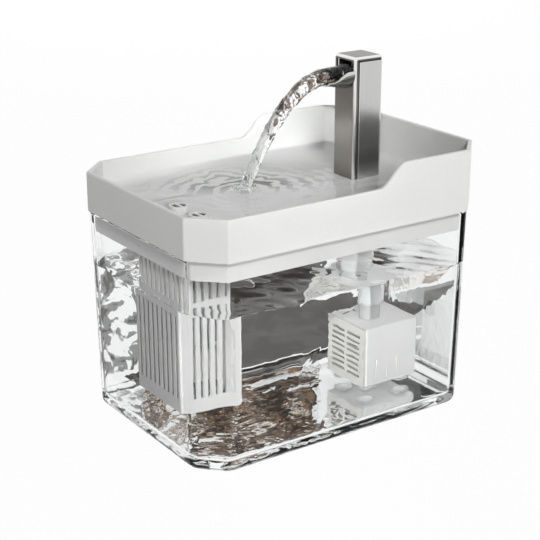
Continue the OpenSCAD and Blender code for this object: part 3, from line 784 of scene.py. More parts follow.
@dataclass(frozen=True)
class BrushedMetal(Finish):
    """Brushed or drawn metal, whose colour carries a painted reflection that changes up the piece.
    """

    roughness: float = 0.28
    streaks: float = 900.0
    stretch: float = 0.02
    shade: float = 0.12
    foot: float = 0.0
    top: float = 1.0
    # Tones up the piece: painted reflection, lighter and darker bands standing in for what the
    # steel mirrors
    tones: tuple[tuple[float, float], ...] = ((0.0, 1.0), (1.0, 1.0))
    # Colour of the painted highlight on the sheet's bends, and its share
    fold: Colour = (0.85, 0.85, 0.84)
    bend_highlight_share: float = 0.0
    rough_range: Range = (0.93, 1.07)
    smear: float = 0.015
    depth: float = 0.02 * MM
    bump: float = 0.12

    def dress(self, tree: Tree, effects: Effects) -> dict[str, object]:
        """Makes the streaks, the painted reflection up the piece and the painted highlight on the
        bends.

        Args:
            tree: The material's tree.
            effects: The shared effects.

        Returns:
            The shader's inputs by name.
        """
        marks = tree.group(
            effects.brushing, Streaks_per_metre=self.streaks, Stretch=self.stretch
        )
        streak = tree.span(marks["Streak"], *NOISE)
        body = tree.blend(streak, toned(self.colour, 1 - self.shade), self.colour)
        # Painted reflection: the colour's tone changes up the piece
        tone = tree.ramp(tree.span(tree.along("Z"), self.foot, self.top), self.tones)
        # Painted highlight: a lighter colour on the sheet's bends
        painted_light_mask = tree.math("MULTIPLY", tree.group(effects.polish)["Mask"], self.bend_highlight_share)
        ends = [self.roughness * share for share in self.rough_range]
        rough_streak = tree.span(marks["Streak"], *NOISE, *ends)
        smear = tree.span(marks["Cloud"], *NOISE, -self.smear, self.smear)
        return {
            "Base Color": tree.blend(painted_light_mask, tree.vector("MULTIPLY", body, tone), self.fold),
            "Roughness": tree.math("ADD", rough_streak, smear),
            "Metallic": 1.0,
            "Normal": self.relief(tree, marks["Streak"], self.bump, self.depth),
        }


@dataclass(frozen=True)
class Clear(Finish):
    """Clear plastic, silicone or water, which lets lamp light through."""

    bending: float = 1.45
    roughness: float = 0.0
    bloom: float = 0.003
    hollow: float = 0.985
    swirls: float = 30.0
    twist: float = 0.8
    depth: float = 0.4 * MM
    strength: float = 0.3
    shadow: Colour = (0.93, 0.94, 0.94)
    transmission: float = 1.0

    def height(self, tree: Tree, effects: Effects) -> Socket:
        """Unevenness of the surface."""
        swirl = tree.group(effects.swirl, Swirls_per_metre=self.swirls, Twist=self.twist)
        return swirl["Height"]

    def tint(self, tree: Tree, height: Socket) -> Socket:
        """Colour of the clear body, a little weaker in the hollows."""
        faint = toned(self.colour, self.hollow)
        return tree.blend(tree.span(height, *NOISE), faint, self.colour)

    def dress(self, tree: Tree, effects: Effects) -> dict[str, object]:
        """Makes the tint and the unevenness.

        Args:
            tree: The material's tree.
            effects: The shared effects.

        Returns:
            The shader's inputs by name.
        """
        height = self.height(tree, effects)
        rough = self.roughness
        return {
            "Base Color": self.tint(tree, height),
            "Roughness": tree.span(height, *NOISE, rough, rough + self.bloom),
            "IOR": self.bending,
            "Transmission Weight": self.transmission,
            "Normal": self.relief(tree, height, self.strength, self.depth),
        }

    def surface(self, tree: Tree, shaded: Socket) -> Socket:
        """The clear body, whose shadow is only a tint."""
        shadow = tree.add("BsdfTransparent", self.shadow).outputs[0]
        return tree.either(tree.add("LightPath").outputs["Is Shadow Ray"], shaded, shadow)


@dataclass(frozen=True)
class ClearTub(Clear):
    """Clear plastic whose thick floor has set unevenly under its gate."""

    wall_calm: Range = (-0.02, 0.07, 1.0, 0.16)
    floor_top: float = 3.0 * MM
    floor_blend: float = 1.2
    floor_calm: Range = (0.0, 0.04, 1.0, 0.12)
    floor_stretch: Point = (0.45, 1.0, 1.0)
    floor_swirls: float = 18.0
    floor_share: float = 3.0

    def height(self, tree: Tree, effects: Effects) -> Socket:
        """Unevenness of the walls, with that of the floor's underside added.

        Args:
            tree: The material's tree.
            effects: The shared effects.

        Returns:
            The height.
        """
        along_x = tree.along("X")
        walls = tree.span(along_x, *self.wall_calm)
        walls = tree.math("MULTIPLY", super().height(tree, effects), walls)
        top = self.floor_top
        below = tree.span(tree.along("Z"), top, top * self.floor_blend, 1.0, 0.0)
        near = tree.span(along_x, *self.floor_calm)
        floor = tree.math("MULTIPLY", tree.math("MULTIPLY", below, near), self.floor_share)
        squeezed = tree.vector("MULTIPLY", tree.where(), self.floor_stretch)
        ripple = tree.noise(squeezed, self.floor_swirls, Detail=1.4, Distortion=1.6)
        return tree.math("MULTIPLY_ADD", ripple, floor, walls)


@dataclass(frozen=True)
class RingedWater(Clear):
    """Clear water over a white floor, with painted shade in its colour where its rings would throw
    the light apart.
    """

    # Rings of painted shade round this centre: spacing, crests, reach, colour, and the drift,
    # patches and side they keep to
    centre: Point = (0.0, 0.0, 0.0)
    spacing: float = 9.5 * MM
    crest: Range = (-0.1, 0.5)
    reach: Range = (24.0 * MM, 66.0 * MM)
    shaded: Colour = (0.07, 0.07, 0.071)
    drift: float = 3.4
    drifts_per_metre: float = 42.0
    patch: Range = (0.38, 0.55, 0.1)
    patches_per_metre: float = 24.0
    toward: Point = (0.45, 0.89, 0.0)
    away: Range = (-8.0 * MM, 12.0 * MM, 0.03)

    def tint(self, tree: Tree, height: Socket) -> Socket:
        """Colour of the water, with the painted shade of the rings on it.

        Args:
            tree: The material's tree.
            height: Unevenness of the surface; not used.

        Returns:
            The colour.
        """
        where = tree.where()
        offset = tree.vector("SUBTRACT", where, self.centre)
        flat = tree.vector("MULTIPLY", offset, (1.0, 1.0, 0.0))
        far = tree.vector("LENGTH", flat)
        drift = tree.noise(where, self.drifts_per_metre, Detail=3.0, Distortion=0.8)
        rings = tree.math("DIVIDE", far, self.spacing)
        turns = tree.math("MULTIPLY_ADD", drift, self.drift, rings)
        crest = tree.math("COSINE", tree.math("MULTIPLY", turns, 2 * math.pi))
        patch = tree.noise(where, self.patches_per_metre, Detail=2.0)
        share = tree.span(far, *self.reach, 1.0, 0.0)
        for fade in (
            tree.span(patch, *self.patch),
            tree.span(tree.vector("DOT_PRODUCT", flat, self.toward), *self.away),
            tree.span(crest, *self.crest),
        ):
            share = tree.math("MULTIPLY", share, fade)
        # Painted shade on the ring crests
        return tree.blend(share, self.colour, self.shaded)


@dataclass(frozen=True)
class RunningWater(Clear):
    """Clear water that runs fast, with dark reflections painted into its colour in streaks along
    its run.
    """

    # Colour of the painted dark reflections, how many there are, and how they thin out lower down
    fold: Colour = (0.06, 0.038, 0.024)
    dark_reflections_per_metre: float = 240.0
    run: Point = (0.45, 1.0, 0.4)
    calm: float = 0.0
    busy: float = 1.0
    least: Range = (0.68, 0.5)
    sharpness: float = 22.0

    def tint(self, tree: Tree, height: Socket) -> Socket:
        """Colour of the stream, with painted dark reflections in its upper part.

        Args:
            tree: The material's tree.
            height: Unevenness of the surface; not used.

        Returns:
            The colour.
        """
        along = tree.vector("MULTIPLY", tree.where(), self.run)
        painted_light_mask = tree.noise(
            along, self.dark_reflections_per_metre, Detail=3.0, Roughness=0.6, Distortion=1.6
        )
        edge = tree.span(tree.along("Z"), self.calm, self.busy, *self.least)
        share = tree.math("MULTIPLY", tree.math("SUBTRACT", painted_light_mask, edge), self.sharpness)
        share = tree.math("MINIMUM", tree.math("MAXIMUM", share, 0.0), 1.0)
        # Painted dark reflections in the stream's colour
        return tree.blend(share, self.colour, self.fold)


@dataclass(frozen=True)
class Fibrous(Finish):
    """Fleece, felt or open foam."""

    fibres: float = 1500.0
    flow_per_metre: float = 120.0
    thread: Range = (0.3, 0.65)
    tuft_edge: float = 0.25
    # Tone where the fibres lie low: partly the fibres' own tone, partly painted shade in the
    # hollows
    painted_hollow_shade: float = 0.55
    tired: float = 0.9
    tired_range: Range = (0.45, 0.7, 0.0, 0.4)
    rough_range: Range = (0.85, 1.0)
    tufts: float = 0.5
    sheen: float = 0.25
    depth: float = 0.6 * MM
    bump: float = 0.8

    def dress(self, tree: Tree, effects: Effects) -> dict[str, object]:
        """Makes the threads, their tufts with painted shade in their hollows, and the tired
        patches.

        Args:
            tree: The material's tree.
            effects: The shared effects.

        Returns:
            The shader's inputs by name.
        """
        mat = tree.group(effects.fibre, Fibres_per_metre=self.fibres)
        flow = tree.group(effects.moulding, Flow_per_metre=self.flow_per_metre)["Flow"]
        thread = tree.span(mat["Fibre"], *self.thread)
        tuft = tree.span(mat["Tuft"], 0.0, self.tuft_edge, 1 - self.tufts)
        height = tree.math("MULTIPLY", thread, tuft)
        # Darker where the threads and tuft edges lie low: partly own tone, partly painted shade
        body = tree.blend(height, toned(self.colour, self.painted_hollow_shade), self.colour)
        tired = tree.span(flow, *self.tired_range)
        return {
            "Base Color": tree.blend(tired, body, toned(self.colour, self.tired)),
            "Roughness": tree.span(mat["Fibre"], *NOISE, *self.rough_range),
            "Sheen Weight": self.sheen,
            "Normal": self.relief(tree, height, self.bump, self.depth),
        }


# Studio


@dataclass(frozen=True)
class Lamp:
    """Soft rectangular lamp that no gloss mirrors and no clear piece shows."""

    name: str
    at: Point
    size: float | tuple[float, float]
    power: float
    aim: Point
    beam: float = 180.0

    def build(self) -> None:
        """Makes the lamp, facing its aim."""
        data = bpy.data.lights.new(self.name, "AREA")
        data.spread = math.radians(self.beam)
        data.shape = "RECTANGLE"
        pair = self.size if isinstance(self.size, tuple) else (self.size, self.size)
        data.size, data.size_y = pair
        data.energy = self.power
        lamp = link(self.name, data)
        lamp.visible_glossy = lamp.visible_transmission = False
        aim_at(lamp, self.at, self.aim)


def aim_at(piece: Piece, at: Point, aim: Point) -> None:
    """Puts a lamp or camera at a place and turns it to its aim."""
    piece.location = at
    piece.rotation_euler = (Vector(aim) - Vector(at)).to_track_quat("-Z", "Y").to_euler()


@dataclass(frozen=True)
class Card:
    """Studio card that is only seen through glass and water, or only mirrored.

    It glows in its tones, from dark to light, and lights nothing.
    """

    name: str
    outline: Sequence[Point]
    tones: Sequence[Colour]
    patches: float
    mirrored: bool = False
    clouds: float = 46.0
    stretch: Point = (0.6, 0.6, 1.1)
    edges: Range = (0.32, 0.68)
    band: float = 0.09
    blur: float = 0.03

    def glow(self, tree: Tree) -> Socket:
        """Its clouds of tone, of which the dark ones take the share named patches.

        Args:
            tree: The card's tree.

        Returns:
            The glowing shader.
        """
        long_way = tree.vector("MULTIPLY", tree.where(), self.stretch)
        cloud = tree.noise(long_way, self.clouds, Detail=2.5, Roughness=0.6, Distortion=1.8)
        colour: object = self.tones[0]
        for i, tone in enumerate(self.tones[1:]):
            low = mix(*self.edges, self.patches) - self.band * (len(self.tones) - 2 - i)
            colour = tree.blend(tree.span(cloud, low, low + self.blur), colour, tone)
        return tree.add("Emission", colour, 1.0).outputs[0]

    def build(self) -> None:
        """Makes the card."""
        card = new_piece(self.name, self.outline, [range(len(self.outline))])
        material, tree = new_material(self.name)
        lighting = tree.math("MINIMUM", tree.add("LightPath").outputs["Diffuse Depth"], 1.0)
        nothing = tree.add("BsdfTransparent").outputs[0]
        tree.add("OutputMaterial", Surface=tree.either(lighting, self.glow(tree), nothing))
        card.data.materials.append(material)
        card.visible_camera = card.visible_diffuse = card.visible_shadow = False
        card.visible_glossy = self.mirrored
        card.visible_transmission = not self.mirrored


def lying(plan: Sequence[PlanPoint], height: float) -> list[Point]:
    """A level outline."""
    return [(x, y, height) for x, y in plan]


def standing(x: PlanPoint, z: PlanPoint, y: float) -> list[Point]:
    """An upright rectangle that faces the front."""
    return [(a, y, b) for a, b in rectangle(x, z)]


@dataclass(frozen=True)
class Studio:
    """Floor, lamps, world, cards and camera."""

    lens_mm: float = 90.72
    sensor_mm: float = 36.0
    nearest: float = 0.01
    eye: Point = (-0.4426, -0.6330, 0.3607)
    target: Point = (-0.01003, -0.00293, 0.08739)
    ambient: float = 0.12
    lamp_reach: float = 2.0
    lamp_size: float = 0.5
    middle: Point = (0.0, 0.0, 0.1)
    floor_half: float = 6.0
    floor_glow: float = 0.97
    floor_tones: tuple[Colour, Colour] = ((0.92, 0.92, 0.92), (0.95, 0.95, 0.95))
    floor_roughness: float = 0.9
    floor_tooth_per_metre: float = 240.0

    def camera(self) -> None:
        """Makes the camera at the photograph's viewpoint."""
        data = bpy.data.cameras.new("camera")
        data.lens = self.lens_mm
        data.sensor_width = self.sensor_mm
        data.clip_start = self.nearest
        camera = link("camera", data)
        aim_at(camera, self.eye, self.target)
        bpy.context.scene.camera = camera

    def lamps(self) -> None:
        """Makes the lamps: three large ones, and small ones for what the tray shades.

        The key comes from the low end's front, the side lamp from the faucet end and the rear
        lamp from low behind.
        """
        for name, turn, rise, power in (
            ("key", -113.0, 1.25, 26.3), ("side", -52.0, 1.25, 9.5), ("rear", 60.0, 0.5, 13.0)
        ):
            x, y = (self.lamp_reach * share for share in arc(turn, turn, 2)[0])
            Lamp(name, (x, y, rise), self.lamp_size, power, self.middle).build()
        for lamp in (
            Lamp("graze", (-0.5, -0.1, 0.2), 0.08, 0.05, (-0.1, -0.07, 0.15)),
            Lamp("basin", (-0.4, -0.55, 0.45), 0.04, 0.044, (0.04, 0.07, 0.185), 17.0),
            Lamp("pump", (-0.38, -0.6, 0.1), 0.1, 0.07, (0.045, 0.01, 0.03), 10.0),
            Lamp("basket", (0.0, -0.6, 0.06), 0.04, 0.035, (-0.07, -0.04, 0.06), 11.0),
            Lamp("foot", (0.058, 0.0, 0.0006), (0.042, 0.046), 0.02, (0.058, 0.0, 0.1), 90.0),
        ):
            lamp.build()

    def cards(self) -> None:
        """Makes the cards that clear plastic, water and gloss show: grey in front, dark behind."""
        grey, slate, white = (0.28, 0.28, 0.275), (0.105, 0.1, 0.095), (1.0, 1.0, 1.0)
        bark, brown, pale = (0.018, 0.012, 0.009), (0.22, 0.14, 0.085), (0.86, 0.82, 0.78)
        front = [
            (-0.5, -0.42), (0.5, -0.42), (0.5, -0.09), (-0.12, -0.09), (-0.12, 0.6), (-0.5, 0.6)
        ]
        under = [(-0.04, 0.0), (0.085, 0.0), (0.09, 0.0785), (-0.04, 0.0785)]
        behind = [(-0.012, 0.0785), (0.09, 0.0785), (0.15, 0.16), (0.04, 0.16)]
        beyond = [(0.05, 0.165), (0.13, 0.165), (0.2, 0.26), (0.12, 0.26)]
        side = standing((-0.095, -0.006), (0.0, 0.078), 0.085)
        high = standing((0.02, 0.125), (0.054, 0.13), 0.16)
        far = standing((0.33, 0.5), (0.2, 0.32), 0.3)
        for card in (
            Card("front_card", lying(front, 0.002), [grey], 0.5, mirrored=True),
            Card("under_card", lying(under, 0.0003), [bark, slate, brown], 0.82, clouds=30.0),
            Card("behind_card", lying(behind, 0.001), [slate, toned(slate, 1.25)], 0.5),
            Card("beyond_card", lying(beyond, 0.001), [bark, brown, pale], 0.6),
            Card("side_card", side, [slate, grey, white], 0.46),
            Card("high_card", high, [bark, brown, pale], 0.73),
            Card("far_card", far, [bark, brown, pale], 0.6),
        ):
            card.build()

    @staticmethod
    def background_share(tree: Tree) -> Socket:
        """Share of the plain background in what a ray sees.

        It is 1 for camera, glossy and transmission rays that lit nothing on their way.

        Args:
            tree: The tree to build in.

        Returns:
            The share.
        """
        path = tree.add("LightPath").outputs
        seen = tree.math("ADD", path["Is Camera Ray"], path["Is Glossy Ray"])
        seen = tree.math("MINIMUM", tree.math("ADD", seen, path["Is Transmission Ray"]), 1.0)
        return tree.math("MULTIPLY", seen, tree.math("LESS_THAN", path["Diffuse Depth"], 0.5))

    def world(self) -> None:
        """Makes the white background and the even light round the object."""
        world = bpy.data.worlds.new("studio")
        bpy.context.scene.world = world
        world.use_nodes = True
        tree = Tree(world.node_tree)
        plain = tree.add("Background", (1.0, 1.0, 1.0), 1.0).outputs[0]
        even = tree.add("Background", (1.0, 0.995, 0.985), self.ambient).outputs[0]
        tree.add("OutputWorld", Surface=tree.either(self.background_share(tree), even, plain))

    def floor(self) -> None:
        """Makes the pale floor, which keeps a faint shadow."""
        across = (-self.floor_half, self.floor_half)
        floor = new_piece("floor", lying(rectangle(across, across), 0.0), [range(4)])
        material, tree = new_material("floor_paper")
        tooth = tree.noise(tree.where(), self.floor_tooth_per_metre, Detail=3.0)
        paper = tree.blend(tree.span(tooth, *NOISE), *self.floor_tones)
        shader = tree.add("BsdfPrincipled", Base_Color=paper, Roughness=self.floor_roughness)
        glow = tree.add("Emission", (1.0, 1.0, 1.0), 1.0).outputs[0]
        share = tree.math("MULTIPLY", self.background_share(tree), self.floor_glow)
        tree.add("OutputMaterial", Surface=tree.either(share, shader.outputs[0], glow))
        floor.data.materials.append(material)

    def build(self) -> None:
        """Makes the whole studio."""
        self.camera()
        self.lamps()
        self.world()
        self.floor()
        self.cards()
        bpy.context.scene.view_settings.view_transform = "Standard"


# Water


@dataclass(frozen=True)
class Waves:
    """Travelling waves and one set of rings on a water surface."""

    level: float
    size: float
    lengths: tuple[float, ...]
    rings_at: PlanPoint | None = None
    ring_size: float = 0.0
    ring_length: float = 10.0 * MM
    ring_reach: float = 30.0 * MM
    first_turn: float = 0.5
    turn_step: float = 2.4
    phase_step: float = 1.7
    fade_step: float = 0.5

    def height(self, x: float, y: float) -> float:
        """Height of the surface at a place.

        Args:
            x: The place along X.
            y: The place along Y.

        Returns:
            The height.
        """
        total = 0.0
        for i, length in enumerate(self.lengths):
            angle = self.turn_step * i + self.first_turn
            along = x * math.cos(angle) + y * math.sin(angle)
            wave = math.sin(2 * math.pi * along / length + self.phase_step * i)
            total += wave / (1 + self.fade_step * i)
        total *= self.size
        if self.rings_at:
            far = math.hypot(x - self.rings_at[0], y - self.rings_at[1])
            ring = math.cos(2 * math.pi * far / self.ring_length)
            total += self.ring_size * math.exp(-far / self.ring_reach) * ring
        return self.level + total

    def fill(self, space: Piece, half: PlanPoint, foot: float, step: float) -> None:
        """Fills a space with water up to this surface.

        Args:
            space: The space, which becomes the water.
            half: Half the length and width of the surface that is made.
            foot: Height from which it is filled.
            step: Size of the surface's squares.
        """
        nx, ny = (int(2 * size / step) + 1 for size in half)
        xs, ys = spread(-half[0], half[0], nx), spread(-half[1], half[1], ny)
        points: list[Point] = [(x, y, self.height(x, y)) for y in ys for x in xs]
        faces = [
            [j * nx + i, j * nx + i + 1, (j + 1) * nx + i + 1, (j + 1) * nx + i]
            for j in range(ny - 1)
            for i in range(nx - 1)
        ]
        edge = [*range(nx), *(j * nx + nx - 1 for j in range(1, ny))]
        edge += [(ny - 1) * nx + i for i in range(nx - 2, -1, -1)]
        edge += [j * nx for j in range(ny - 2, 0, -1)]
        start = len(points)
        points += [(points[i][0], points[i][1], foot) for i in edge]
        for k in range(len(edge)):
            n = (k + 1) % len(edge)
            faces.append([edge[k], start + k, start + n, edge[n]])
        faces.append([start + k for k in range(len(edge))])
        combine(space, new_piece("water_block", points, faces), Combine.KEEP_COMMON)


# Sub-assemblies


@dataclass
class Tank:
    """Clear tub with a thick floor, and the water in it."""

    # Tub
    wall: float = 4.0 * MM
    lean: float = 2.2 * MM
    leg: float = 17.0 * MM
    foot_round: float = 6.0 * MM
    floor: float = 6.0 * MM
    lip: float = 0.9 * MM
    edge: float = 8.4 * MM
    # Water
    soak: float = 0.5 * MM
    water_level: float = 92.5 * MM
    # Recesses that the pads sit in
    pad_radius: float = 5.0 * MM
    pad_play: float = 0.2 * MM
    pad_gap: float = 0.12 * MM
    # Waves on the water
    wave: float = 0.6 * MM
    wave_lengths: tuple[float, ...] = (0.058, 0.039, 0.027, 0.018, 0.012)
    surface: PlanPoint = (0.11, 0.08)
    surface_step: float = 1.8 * MM
    # Box of the solid
    low: Vector = corner_of("tank", 0)
    high: Vector = corner_of("tank", 1)

    def plan(self) -> CutCornerPlan:
        """Plan of the tank's top edge."""
        size = self.high - self.low
        return CutCornerPlan(size.x, size.y, self.leg)

    def levels(self, inside: float) -> list[tuple[float, float]]:
        """Levels of the inner face, from foot to top.

        Args:
            inside: How far the face is moved into the wall.

        Returns:
            Inset and height of each level.
        """
        curve = self.foot_round - self.wall / 2
        inset, foot = self.wall + self.lean - inside, self.low.z + self.floor - inside
        rows = [(inset + curve * (1 - s), foot + curve * (1 - c)) for c, s in arc(0, 90, 9)]
        return rows + [(self.wall - inside, self.high.z)]

    def shell(self) -> Piece:
        """Skins the tub: foot, outside, lip, inside and floor.

        Returns:
            The tub.
        """
        plan, run = self.plan(), parts(33)
        outside = [
            (self.lean + self.foot_round * (1 - s), self.low.z + self.foot_round * (1 - c))
            for c, s in arc(0, 90, 11)
        ]
        lip = [(self.lip * (1 - c), self.high.z - self.lip * (1 - s)) for c, s in arc(0, 90, 4)]
        inside = [(self.wall - inset, z) for inset, z in reversed(lip)]
        inside += reversed(self.levels(0.0)[:-1])
        rings = [plan.ring(inset, self.edge, z, run) for inset, z in outside + lip]
        rings += [plan.ring(inset, self.edge - self.wall, z, run) for inset, z in inside]
        piece = loft("tank_shell", rings)
        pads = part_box("tank_pads")[1]
        foot, top = self.low.z - self.floor, pads.z + self.pad_gap
        for x in (-1, 1):
            for y in (-1, 1):
                centre = (x * (pads.x - self.pad_radius), y * (pads.y - self.pad_radius))
                recess = circle(self.pad_radius + self.pad_play, 40, centre)
                combine(piece, prism("pad_recess", recess, foot, top), Combine.CUT)
        smooth(piece, 30.0)
        return piece

    def water(self) -> Piece:
        """Fills the tub, soaked a little way into the walls so that no air lies between.

        Returns:
            The water.
        """
        plan, run, edge = self.plan(), parts(23), self.edge - self.wall
        rings = [plan.ring(inset, edge, z, run) for inset, z in self.levels(self.soak)]
        space = loft("tank_water", rings)
        waves = Waves(self.water_level, self.wave, self.wave_lengths)
        waves.fill(space, self.surface, 0.0, self.surface_step)
        smooth(space, 40.0)
        return space

    def build(self, made: dict[str, Material]) -> None:
        """Builds and dresses the tank."""
        place(self.shell(), "tank", made["clear_tank"], ["tank"])
        place(self.water(), "tank", made["tank_water"])


@dataclass
class Drains:
    """Water that runs down the two standpipes of the filter lid, tinted near black: painted shade
    down the bores.
    """

    bore: float = 4.0 * MM
    play: float = 0.05 * MM
    pitch: float = 21.0 * MM
    back: float = 2.3 * MM
    side: float = 6.9 * MM
    fall: float = 0.7 * MM
    low: Vector = corner_of("filter_lid", 0)
    high: Vector = corner_of("filter_lid", 1)

    def centres(self) -> list[PlanPoint]:
        """Centres of the two standpipes in plan."""
        x, y, _ = (self.low + self.high) / 2
        return [(x - self.back, y - self.side + turn * self.pitch / 2) for turn in (-1, 1)]

    def build(self, made: dict[str, Material]) -> None:
        """Builds and dresses the water in each standpipe.

        Args:
            made: The finishes by slot.
        """
        for i, centre in enumerate(self.centres()):
            plan = circle(self.bore - self.play, 40, centre)
            piece = prism(f"drain_water_{i + 1}", plan, self.low.z, self.high.z - self.fall)
            smooth(piece, 40.0)
            # Its near-black finish paints the shade down each bore
            place(piece, "lid", made["drain_water"])


@dataclass
class Tray:
    """Drinking tray with its rim, basin, skirt and riser, and the water in the basin."""

    # Wall and floor
    wall: float = 2.6 * MM
    leg: float = 17.2 * MM
    edge: float = 2.4 * MM
    floor: float = 4.4 * MM
    low_rim: float = 23.9 * MM
    high_rim: float = 36.9 * MM
    # Skirt
    skirt_height: float = 12.3 * MM
    skirt_inset: float = 5.22 * MM
    skirt_wall: float = 2.4 * MM
    skirt_play: float = 0.5 * MM
    skirt_edge: float = 1.6 * MM
    skirt_chamfer: float = 0.7 * MM
    # Curve from the wall into the basin's floor
    curve_out: float = 14.0 * MM
    curve_up: float = 9.0 * MM
    # Climb of the rim along X
    slope: Range = (17.0 * MM, 36.0 * MM)
    slope_ends: float = 3.0 * MM
    # Rounded edges
    rim_round: float = 0.9 * MM
    foot_round: float = 0.5 * MM
    # Riser under the basin and spigot over it
    riser: float = 11.0 * MM
    riser_lead: float = 0.6 * MM
    spigot: float = 6.5 * MM
    spigot_neck: float = 5.6 * MM
    spigot_tip: float = 5.9 * MM
    spigot_rise: float = 12.0 * MM
    groove: float = 0.8 * MM
    bore: float = 5.0 * MM
    hose_play: float = 0.3 * MM
    hose_end: float = 1.2 * MM
    # Hole for the basket
    pocket_play: float = 0.5 * MM
    pocket_step: float = 3.5 * MM
    pocket_sink: float = 2.1 * MM
    pocket_round: float = 2.9 * MM
    # Notch for the pump's lead
    notch_width: float = 8.0 * MM
    notch_side: float = 30.0 * MM
    notch_rise: float = 3.0 * MM
    # Middle point of a small rounding, as a share of its size
    bevel: float = 0.3
    # How far a tool or a joined solid reaches past a face
    over: float = 1.0 * MM
    # Water in the basin
    water_level: float = 138.4 * MM
    water_room: float = 2.0 * MM
    soak: float = 0.35 * MM
    wave: float = 0.16 * MM
    wave_lengths: tuple[float, ...] = (0.034, 0.025, 0.019, 0.013)
    surface: PlanPoint = (0.105, 0.075)
    surface_step: float = 1.25 * MM
    # Rings where the stream lands
    splash: PlanPoint = (-27.0 * MM, 0.0)
    ring_size: float = 0.38 * MM
    ring_length: float = 8.0 * MM
    ring_reach: float = 34.0 * MM
    # Drops over the rings
    drop_count: int = 26
    drop_turn: float = 2.4
    drop_scatter: Point = (0.618, 0.377, 0.731)
    drop_reach: float = 11.0 * MM
    drop_far_mm: tuple[float, float] = (2.2, 7.5)
    drop_up_mm: tuple[float, float] = (0.9, 5.2)
    drop_radius_mm: tuple[float, float] = (0.35, 0.75)
    drop_stretch: float = 1.35
    # Box of the solid
    low: Vector = corner_of("tray", 0)
    high: Vector = corner_of("tray", 1)

    def base(self) -> float:
        """Height of the tray's underside."""
        return self.high.z - self.high_rim

    def basin(self) -> float:
        """Height of the basin's floor."""
        return self.base() + self.floor

    def skirt_foot(self) -> float:
        """Height of the skirt's lower edge."""
        return self.base() - self.skirt_height

    def rim(self, x: float) -> float:
        """Height of the rim at a place along X."""
        share = (x - self.slope[0]) / (self.slope[1] - self.slope[0])
        return self.base() + mix(self.low_rim, self.high_rim, ease(share))

    def plan(self) -> CutCornerPlan:
        """Plan of the tray's outside."""
        size = self.high - self.low
        return CutCornerPlan(size.x, size.y, self.leg)

    def long_run(self) -> list[float]:
        """Shares that divide a long side, close together where the rim climbs.

        Returns:
            The shares, from the low X end.
        """
        half = self.plan().length / 2 - self.leg
        start, end = self.slope[0] - self.slope_ends, self.slope[1] + self.slope_ends
        places = spread(-half, start, 40)[1:] + spread(start, end, 34)[1:]
        return [(x + half) / (2 * half) for x in places + spread(end, half, 16)[1:-1]]

    def levels(self, grow: float) -> list[tuple[float, float]]:
        """Levels of the basin's face, from the wall down.

        Args:
            grow: How far the face is moved into the plastic.

        Returns:
            Inset and height of each level.
        """
        inset, floor = self.wall - grow, self.basin() - grow
        return [
            (inset + self.curve_out * (1 - s), floor + self.curve_up * (1 - c))
            for c, s in arc(90, 0, 13)
        ]

    def shell(self) -> Piece:
        """Skins the tray's wall and basin, adds the skirt, riser and spigot, and cuts its holes.

        Returns:
            The tray.
        """
        plan, run, base = self.plan(), self.long_run(), self.base()
        foot, half = self.foot_round, self.foot_round * self.bevel
        outside = [(foot, base), (half, base + half), (0.0, base + foot)]
        rings = [plan.ring(inset, self.edge, z, run) for inset, z in outside]
        rim = [(self.rim_round * (1 - c), self.rim_round * (1 - s)) for c, s in arc(0, 90, 5)]
        rim += [(self.wall - inset, down) for inset, down in reversed(rim)]
        for inset, down in rim:
            rings.append(plan.ring(inset, self.edge, lambda x, d=down: self.rim(x) - d, run))
        rings += [plan.ring(inset, self.edge, z, run) for inset, z in self.levels(0.0)]
        piece = loft("tray_shell", rings)
        combine(piece, self.skirt(), Combine.JOIN)
        self.add_riser(piece)
        self.cut_pocket(piece)
        self.cut_notch(piece)
        smooth(piece, 32.0)
        return piece

    def skirt(self) -> Piece:
        """Band that locates the tray inside the tank, with a chamfered lower edge.

        Returns:
            The band.
        """
        inset, foot, top = self.skirt_inset - self.skirt_play, self.skirt_foot(), self.basin()
        inner, top = inset + self.skirt_wall, top - self.floor / 2
        cut, half = self.skirt_chamfer, self.skirt_chamfer * self.bevel
        rows = [
            (inset + cut, foot), (inset + half, foot + half), (inset, foot + cut),
            (inset, top), (inner, top), (inner, foot),
        ]
        plan, run = Tank().plan(), parts(19)
        rings = [plan.ring(i, self.skirt_edge, z, run) for i, z in rows]
        return loft("skirt", rings, closed=True)

    def add_riser(self, piece: Piece) -> None:
        """Adds the riser, whose socket takes the hose, and the spigot that the tower stands on.

        Args:
            piece: The tray.
        """
        low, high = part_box("hose_coupling")
        axis = ((low.x + high.x) / 2, 0.0)
        foot, lead, base, basin = self.low.z, self.riser_lead, self.base(), self.basin()
        riser, half = self.riser, lead * self.bevel
        outside = [
            (riser - lead, foot), (riser - half, foot + half), (riser, foot + lead),
            (riser, base + self.floor / 2),
        ]
        combine(piece, turned("riser", outside, axis), Combine.JOIN)
        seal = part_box("spigot_seal")
        middle = (seal[0].z + seal[1].z) / 2
        under, over, top = middle - self.groove, middle + self.groove, basin + self.spigot_rise
        spigot = [
            (self.spigot, base + self.over), (self.spigot, under), (self.spigot_neck, under),
            (self.spigot_neck, over), (self.spigot, over), (self.spigot, top - lead),
            (self.spigot_tip, top),
        ]
        combine(piece, turned("spigot", spigot, axis), Combine.JOIN)
        socket, step = (high.x - low.x) / 2 + self.hose_play, high.z + self.hose_end
        bore = [
            (socket, foot - self.over), (socket, step), (self.bore, step),
            (self.bore, top + self.over),
        ]
        combine(piece, turned("bore", bore, axis), Combine.CUT)

